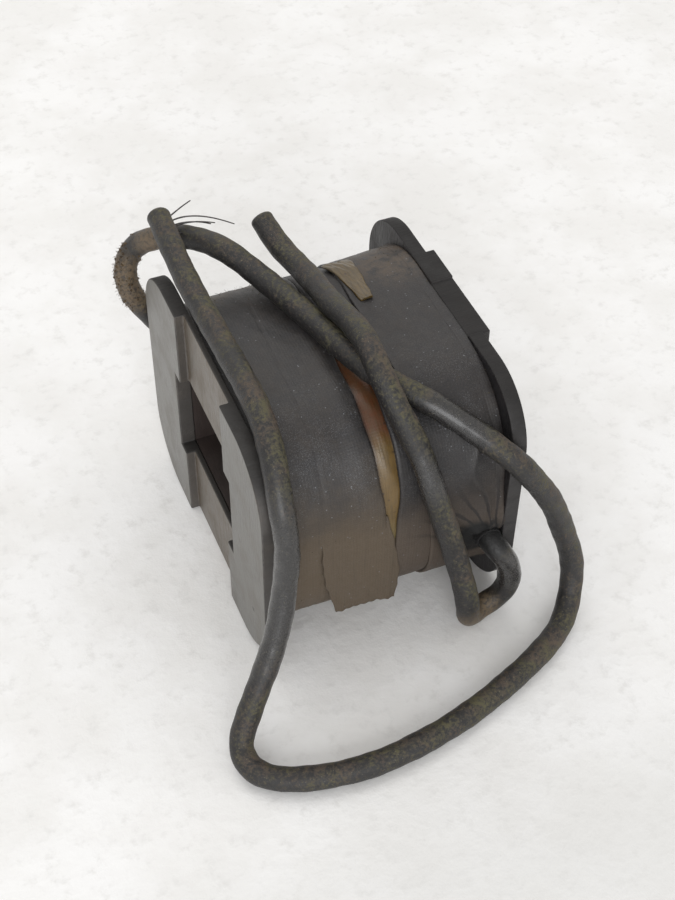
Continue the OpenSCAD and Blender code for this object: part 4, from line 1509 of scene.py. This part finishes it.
@dataclass
class WoundBody:
    """The cambric and the black tape over the windings, with the tab and the loose tail."""

    section: Section = field(default_factory=lambda: Section(38.5, 33.0, 12.0))
    left_x: float = -15.2
    right_x: float = 14.2
    exit_x: float = 12.3
    exit_s: float = 26.0

    def gap_left(self) -> Callable[[np.ndarray, np.ndarray], np.ndarray]:
        """Returns the right-hand border of the left tape."""
        return border((0, 1.2), (18.6, -0.4), (29.1, -0.5), (34, -1.1), (39.2, -1.7), (46.9, -1.95),
                      (55, -1.8), (64, -1.15), (87, -0.9), (104, 0.2), (122.4, 1.2))

    def gap_right(self) -> Callable[[np.ndarray, np.ndarray], np.ndarray]:
        """Returns the left-hand border of the right tape."""
        return border((0, 0.7), (18.6, 0.3), (29.1, 0.2), (39.2, 0.7), (46.9, 0.7), (55, 0.8),
                      (59, 0.2), (64, -1.05), (87, -0.8), (104, 0.0), (122.4, 0.7))

    def left_lift(self, s: np.ndarray, x: np.ndarray) -> np.ndarray:
        """Returns how far the left tape stands off its section."""
        edge = np.interp(s, [0, 18.6, 29.1, 39.2, 46.9, 55, 64, 87, 104, 122.4],
                         [1.2, -0.4, -0.5, -1.7, -1.95, -1.8, -1.15, -0.9, 0.2, 1.2])
        soft = 0.07 * smooth_noise(1, (s, 19.0), (x, 11.0))
        fine = 0.012 * smooth_noise(2, (s, 2.6), (x, 3.1))
        pillow = 0.3 * bump_at(x, edge - 1.6, 1.5) * smooth_step(s, 30, 38) * (1 - smooth_step(s, 84, 96))
        under = 0.5 * (1 - smooth_step(s, 6, 14)) + 0.5 * smooth_step(s, 98, 106)
        over = under * smooth_step(x, edge - 1.6, edge - 0.5)
        seam = -0.05 * bump_at(x, -9.2 + 0.04 * (s - 30), 0.22)
        turned = -0.25 * (1 - smooth_step(x, self.left_x, self.left_x + 1.3))
        return soft + fine + pillow + over + seam + turned

    def pleats(self, s: np.ndarray, x: np.ndarray) -> np.ndarray:
        """Returns the folds that run together at the right lead's exit."""
        dx, ds = x - self.exit_x - 0.6, s - self.exit_s
        away = np.hypot(dx, ds)
        angle = np.arctan2(ds, -dx + 1e-6)
        fold = 1 - np.abs(np.sin(angle * 4.6 + 0.3 * np.sin(away * 0.7))) ** 0.6
        here = smooth_step(away, 0.8, 3.0) * (1 - smooth_step(away, 12.0, 22.0)) * smooth_step(angle, 0.5, 0.9)
        return (fold - 0.4) * 0.6 * here * (1 - smooth_step(angle, 2.3, 2.8))

    def right_lift(self, s: np.ndarray, x: np.ndarray) -> np.ndarray:
        """Returns how far the lower turns of the right tape stand off the section."""
        soft = 0.08 * smooth_noise(5, (s, 17.0), (x, 9.0))
        fine = 0.012 * smooth_noise(6, (s, 2.3), (x, 2.9))
        down = -0.12 * (1 - smooth_step(s, 16, 24)) - 0.12 * smooth_step(s, 98, 106)
        return soft * 0.6 + fine + down

    def lap_lift(self, s: np.ndarray, x: np.ndarray) -> np.ndarray:
        """Returns how far the upper turns of the right tape stand off the section."""
        soft = 0.06 * smooth_noise(7, (s, 15.0), (x, 8.0))
        fine = 0.014 * smooth_noise(8, (s, 2.2), (x, 2.4))
        rise = 0.42 * smooth_step(x, 6.5, 13.5) * smooth_step(s, 34, 46) * (1 - smooth_step(s, 92, 104))
        hood = smooth_step(s, 26.9, 27.5) * (1 - smooth_step(s, 28.5, 36.0)) * smooth_step(x, 8.6, 11.0)
        return 0.34 + soft + fine + rise * 0.8 + self.pleats(s, x) + 0.95 * hood

    def edge_lift(self, s: np.ndarray, x: np.ndarray) -> np.ndarray:
        """Returns how far the last turn beside the right plate stands off the section."""
        return self.lap_lift(s, x) + 0.02 + 0.1 * smooth_step(x, 12.6, 13.8)

    def exit_notch(self, depth: float, half: float) -> Callable[[np.ndarray, np.ndarray], np.ndarray]:
        """Returns the right-hand border of a turn that opens round the right lead.

        Args:
            depth: how far it opens, in millimetres.
            half: half the length of the opening, in millimetres.
        """
        def line(s: np.ndarray, z: np.ndarray) -> np.ndarray:
            """Returns x along the border, drawn back at the exit."""
            opened = np.clip(1 - np.abs(s - self.exit_s - 0.8) / half, 0, 1)
            return self.right_x - depth * opened**0.8

        return line

    def build(self, finishes: Finishes, growth: Growth) -> None:
        """Builds every outer layer of the body.

        Args:
            finishes: the materials.
            growth: the geometry node trees.
        """
        cambric = Section(37.5, 32.0, 11.5)
        left_end = border((0, self.left_x), (122.4, self.left_x))
        right_end = border((0, self.right_x), (122.4, self.right_x))
        wraps = (
            (Wrap("amber_cambric_wrap", cambric, left_end, right_end,
                  lambda s, x: 0.05 * smooth_noise(9, (s, 7.0), (x, 3.0))
                  + 0.22 * bump_at(x, -0.3, 1.0), 0.4, 90),
             finishes.cambric, "varnished_wrap", "varnished_cambric"),
            (Wrap("left_tape_body", self.section, left_end, self.gap_left(), self.left_lift, 0.42, 72),
             finishes.left_tape, "left_tape_wrap", "black_tape"),
            (Wrap("right_tape_body", self.section, self.gap_right(), right_end, self.right_lift, 0.42, 66),
             finishes.right_tape, "right_tape_wrap", "black_tape"),
            (Wrap("right_lap_turns", self.section, border(
                (0, 5.3), (20.9, 5.1), (30, 4.7), (37, 4.3), (47, 4.0), (58, 3.9), (80, 4.4),
                (100, 5.0), (122.4, 5.3)),
                self.exit_notch(0.8, 2.2), self.lap_lift, 0.34, 58),
             finishes.right_tape, "right_lap_wrap", "black_tape"),
            (Wrap("edge_turn_tape", self.section, border(
                (0, 12.9), (15, 12.9), (26, 13.3), (32, 12.9), (60, 12.7), (90, 12.9), (122.4, 12.9)),
                self.exit_notch(0.5, 2.0), self.edge_lift, 0.3, 24),
             finishes.right_tape, "edge_tape_turn", "black_tape"),
        )
        made: dict[str, bpy.types.Object] = {}
        for wrap, material, node, slot in wraps:
            obj = make_object(wrap.name, wrap.mesh(), material)
            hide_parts(node)
            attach(obj, "root")
            made[wrap.name] = obj
            log.info("%s: %d faces", obj.name, len(obj.data.polygons))
        self.build_tab(finishes)
        self.build_tail(finishes)
        self.fray(made, finishes, growth)

    def build_tab(self, finishes: Finishes) -> None:
        """Lays the ochre tab on the right-hand turns.

        Args:
            finishes: the materials.
        """
        low, high = 64.95, 74.2

        def share(s: np.ndarray) -> np.ndarray:
            """Returns how far along the tab a place is, from 0 to 1."""
            return (s - low) / (high - low)

        tab = Wrap(
            "ochre_tab", self.section,
            lambda s, z: 5.1 - 1.5 * share(s) + 0.05 * np.sin(s * 1.7),
            lambda s, z: 6.7 + 0.7 * share(s) + 0.05 * np.sin(s * 2.1),
            lambda s, x: self.lap_lift(s, x) + 0.26 + 0.1 * smooth_noise(13, (s, 3.0), (x, 2.0))
            + 0.25 * (1 - smooth_step(share(s), 0.0, 0.16)) * smooth_step(x, 5.2, 6.6),
            0.22, 26, 0.16, (low, high))
        obj = make_object(tab.name, tab.mesh(), finishes.tab)
        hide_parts("varnished_tab")
        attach(obj, "root")
        log.info("%s made", obj.name)

    def build_tail(self, finishes: Finishes) -> None:
        """Hangs the loose end of the left tape down the front.

        Args:
            finishes: the materials.
        """
        rows, cols = 70, 60
        v = np.linspace(0, 1, rows)[:, None]
        u = np.linspace(0, 1, cols)[None, :]
        top = 21.5
        x_left = np.interp(v, [0, 0.33, 0.62, 1.0], [-9.3, -9.4, -9.0, -7.6]) + 0.05 * np.sin(v * 37)
        x_right = np.interp(v, [0, 0.3, 0.6, 0.85, 1.0], [-1.0, 0.0, 0.8, 0.8, 0.5]) + 0.05 * np.sin(v * 31)
        x = x_left + (x_right - x_left) * u
        end = 6.7 - 0.16 * (x + 7.6) + 0.3 * bump_at(x, -2.2, 1.2) + 0.08 * np.sin(x * 5.9 + 1)
        z = top + (end - top) * v
        off = -0.1 + 0.28 * smooth_step(v, 0.0, 0.3) + 0.2 * smooth_step(v, 0.4, 0.8)
        off = off + 0.1 * smooth_noise(21, (z, 9.0), (x, 7.0)) * v
        curl = 0.3 * smooth_step(v, 0.75, 1.0) * bump_at(x, -7.5, 2.2)
        y = -20.0 - off - curl + 0.35 * smooth_step(v, 0.6, 1.0) + 0.25 * smooth_step(x, -0.6, 0.8) * v
        outer = np.stack([x, y, z], -1)
        slope = np.stack([np.zeros_like(x), np.full_like(x, 0.32), np.zeros_like(x)], -1)
        inner = (outer + slope)[:, ::-1][:, ::4]
        points = np.concatenate([outer, inner], axis=1)
        uv = np.stack([z, x], -1)
        uv = np.concatenate([uv, uv[:, ::-1][:, ::4]], axis=1) * MM
        mesh = Wrap.closed_ends(grid_mesh("loose_tail", points, uv, False), rows, points.shape[1])
        obj = make_object("loose_tail", recalculated(mesh), finishes.left_tape)
        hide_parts("loose_tape_tail")
        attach(obj, "root")
        log.info("%s made", obj.name)

    def fray(self, made: dict[str, bpy.types.Object], finishes: Finishes, growth: Growth) -> None:
        """Grows loose threads on the tape borders and grit in the corners.

        Args:
            made: the wraps by name.
            finishes: the materials.
            growth: the geometry node trees.
        """
        rules: tuple[tuple[str, str, Kind, float, Callable[[np.ndarray], np.ndarray]], ...] = (
            ("left_border_threads", "left_tape_body", Kind.FIBRE, 1.1e6,
             lambda p: smooth_step(p[:, 0], -2.2, -1.2) * 0.5),
            ("left_back_threads", "left_tape_body", Kind.FIBRE, 1.0e6,
             lambda p: smooth_step(p[:, 1], 7.0, 13.0) * smooth_step(p[:, 2], 24.0, 29.0) * 0.6),
            ("left_back_grit", "left_tape_body", Kind.GRAIN, 9.0e5,
             lambda p: smooth_step(p[:, 1], 8.0, 12.0) * smooth_step(p[:, 2], 24.0, 29.0)
             * (1 - smooth_step(p[:, 1], 15.0, 18.0))),
            ("right_corner_grit", "right_lap_turns", Kind.GRAIN, 1.6e6,
             lambda p: smooth_step(p[:, 0], 8.0, 13.5) * smooth_step(p[:, 1], 2.0, 10.0)
             * smooth_step(p[:, 2], 22.0, 30.0)),
            ("right_rim_grit", "edge_turn_tape", Kind.GRAIN, 7.0e5,
             lambda p: smooth_step(p[:, 0], 12.0, 14.0) * smooth_step(p[:, 2], 26.0, 32.0) * 0.6),
            ("left_low_grit", "left_tape_body", Kind.GRAIN, 2.0e5,
             lambda p: 1 - smooth_step(p[:, 2], 14.0, 24.0)),
        )
        for name, base, kind, density, rule in rules:
            paint(made[base], rule)
            tree = growth.fibres if kind is Kind.FIBRE else growth.grains
            material = finishes.fuzz if kind is Kind.FIBRE else finishes.grit
            piece = grown(name, made[base], tree, material, Density=density,
                          Length=0.45 * MM, Radius=(0.014 if kind is Kind.FIBRE else 0.07) * MM, Lean=1.3)
            if not len(piece.data.polygons):
                bpy.data.objects.remove(piece)
                continue
            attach(piece, "root")
            log.info("%s: %d faces", name, len(piece.data.polygons))


# ---------------------------------------------------------------- inside parts


@dataclass(frozen=True)
class InsideParts:
    """The CAD nodes that keep their own mesh, with the finish each takes."""

    def dress(self, finishes: Finishes) -> None:
        """Gives every remaining node its material.

        Args:
            finishes: the materials.
        """
        table = {
            finishes.fibre: ("core_tube",),
            finishes.paper: ("tube_liner", "layer_insulation", "left_margin_filler", "right_margin_filler"),
            finishes.fish_paper: ("left_end_washer", "right_end_washer"),
            finishes.magnet_wire: ("primary_winding",),
            finishes.fine_wire: ("secondary_winding",),
            finishes.solder: ("winding_joint",),
            finishes.sleeving: ("joint_sleeve", "left_splice_sleeve", "right_splice_sleeve"),
            finishes.copper: ("left_conductor", "right_conductor"),
        }
        for material, nodes in table.items():
            for node in nodes:
                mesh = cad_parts[node].data
                mesh.materials.clear()
                mesh.materials.append(material)
                log.info("%s dressed in %s", node, material.name)


# ---------------------------------------------------------------- studio


@dataclass(frozen=True)
class Studio:
    """The camera, the lights and the pale table."""

    azimuth: float = -23.09
    elevation: float = 46.75
    roll: float = 0.76
    lens: float = 60.6
    eye: tuple[float, float, float] = (-52.21, -124.70, 156.54)

    def place_camera(self) -> None:
        """Puts the camera at its viewing angle."""
        a, e, r = (math.radians(v) for v in (self.azimuth, self.elevation, self.roll))
        back = Vector((math.sin(a) * math.cos(e), -math.cos(a) * math.cos(e), math.sin(e)))
        side = Vector((0, 0, 1)).cross(back).normalized()
        over = back.cross(side)
        right = math.cos(r) * side + math.sin(r) * over
        up = -math.sin(r) * side + math.cos(r) * over
        data = bpy.data.cameras.new("camera")
        data.lens = self.lens
        data.clip_start, data.clip_end = 0.005, 20.0
        camera = bpy.data.objects.new("camera", data)
        turn = Matrix((right, up, back)).transposed().to_4x4()
        camera.matrix_world = Matrix.Translation(Vector(self.eye) * MM) @ turn
        bpy.context.scene.collection.objects.link(camera)
        bpy.context.scene.camera = camera
        log.info("camera placed")

    def place_lights(self) -> None:
        """Puts up the soft lights and the bright surroundings."""
        lamps = (
            ("ceiling_panel", (0.0, 0.35, 0.60), (0.0, 0.06, 0.0), 0.7, 1.45, (1.0, 0.99, 0.97)),
            ("front_window", (-0.25, -0.75, 0.35), (0.0, 0.0, 0.02), 0.5, 3.7, (0.97, 0.98, 1.0)),
        )
        for name, place, target, size, power, colour in lamps:
            data = bpy.data.lights.new(name, "AREA")
            data.shape = "SQUARE"
            data.size, data.energy, data.color = size, power, colour
            lamp = bpy.data.objects.new(name, data)
            lamp.location = place
            way = Vector(target) - Vector(place)
            lamp.rotation_euler = way.to_track_quat("-Z", "Y").to_euler()
            bpy.context.scene.collection.objects.link(lamp)
        bpy.context.scene.view_settings.view_transform = "Standard"
        world = bpy.data.worlds.new("bright_room")
        bpy.context.scene.world = world
        world.use_nodes = True
        background = world.node_tree.nodes["Background"]
        background.inputs["Color"].default_value = (1.0, 0.985, 0.97, 1.0)
        background.inputs["Strength"].default_value = 0.72
        log.info("lights placed")

    def lay_table(self, finishes: Finishes) -> None:
        """Lays the pale table top.

        Args:
            finishes: the materials.
        """
        bm = bmesh.new()
        bmesh.ops.create_grid(bm, x_segments=60, y_segments=60, size=1.5)
        for vert in bm.verts:
            vert.co.z = -0.00002
        mesh = bpy.data.meshes.new("table_top")
        bm.to_mesh(mesh)
        bm.free()
        table = make_object("table_top", mesh, finishes.table)
        log.info("table laid")


def main() -> None:
    """Builds the coil and its studio in order."""
    finishes = Finishes()
    growth = Growth()
    studio = Studio()
    studio.place_camera()
    Leads().build(finishes, growth)
    EndPlate("left_end_plate").build(finishes.left_plate)
    EndPlate("right_end_plate").build(finishes.right_plate)
    WoundBody().build(finishes, growth)
    InsideParts().dress(finishes)
    studio.place_lights()
    studio.lay_table(finishes)


if __name__ == "__main__":
    main()
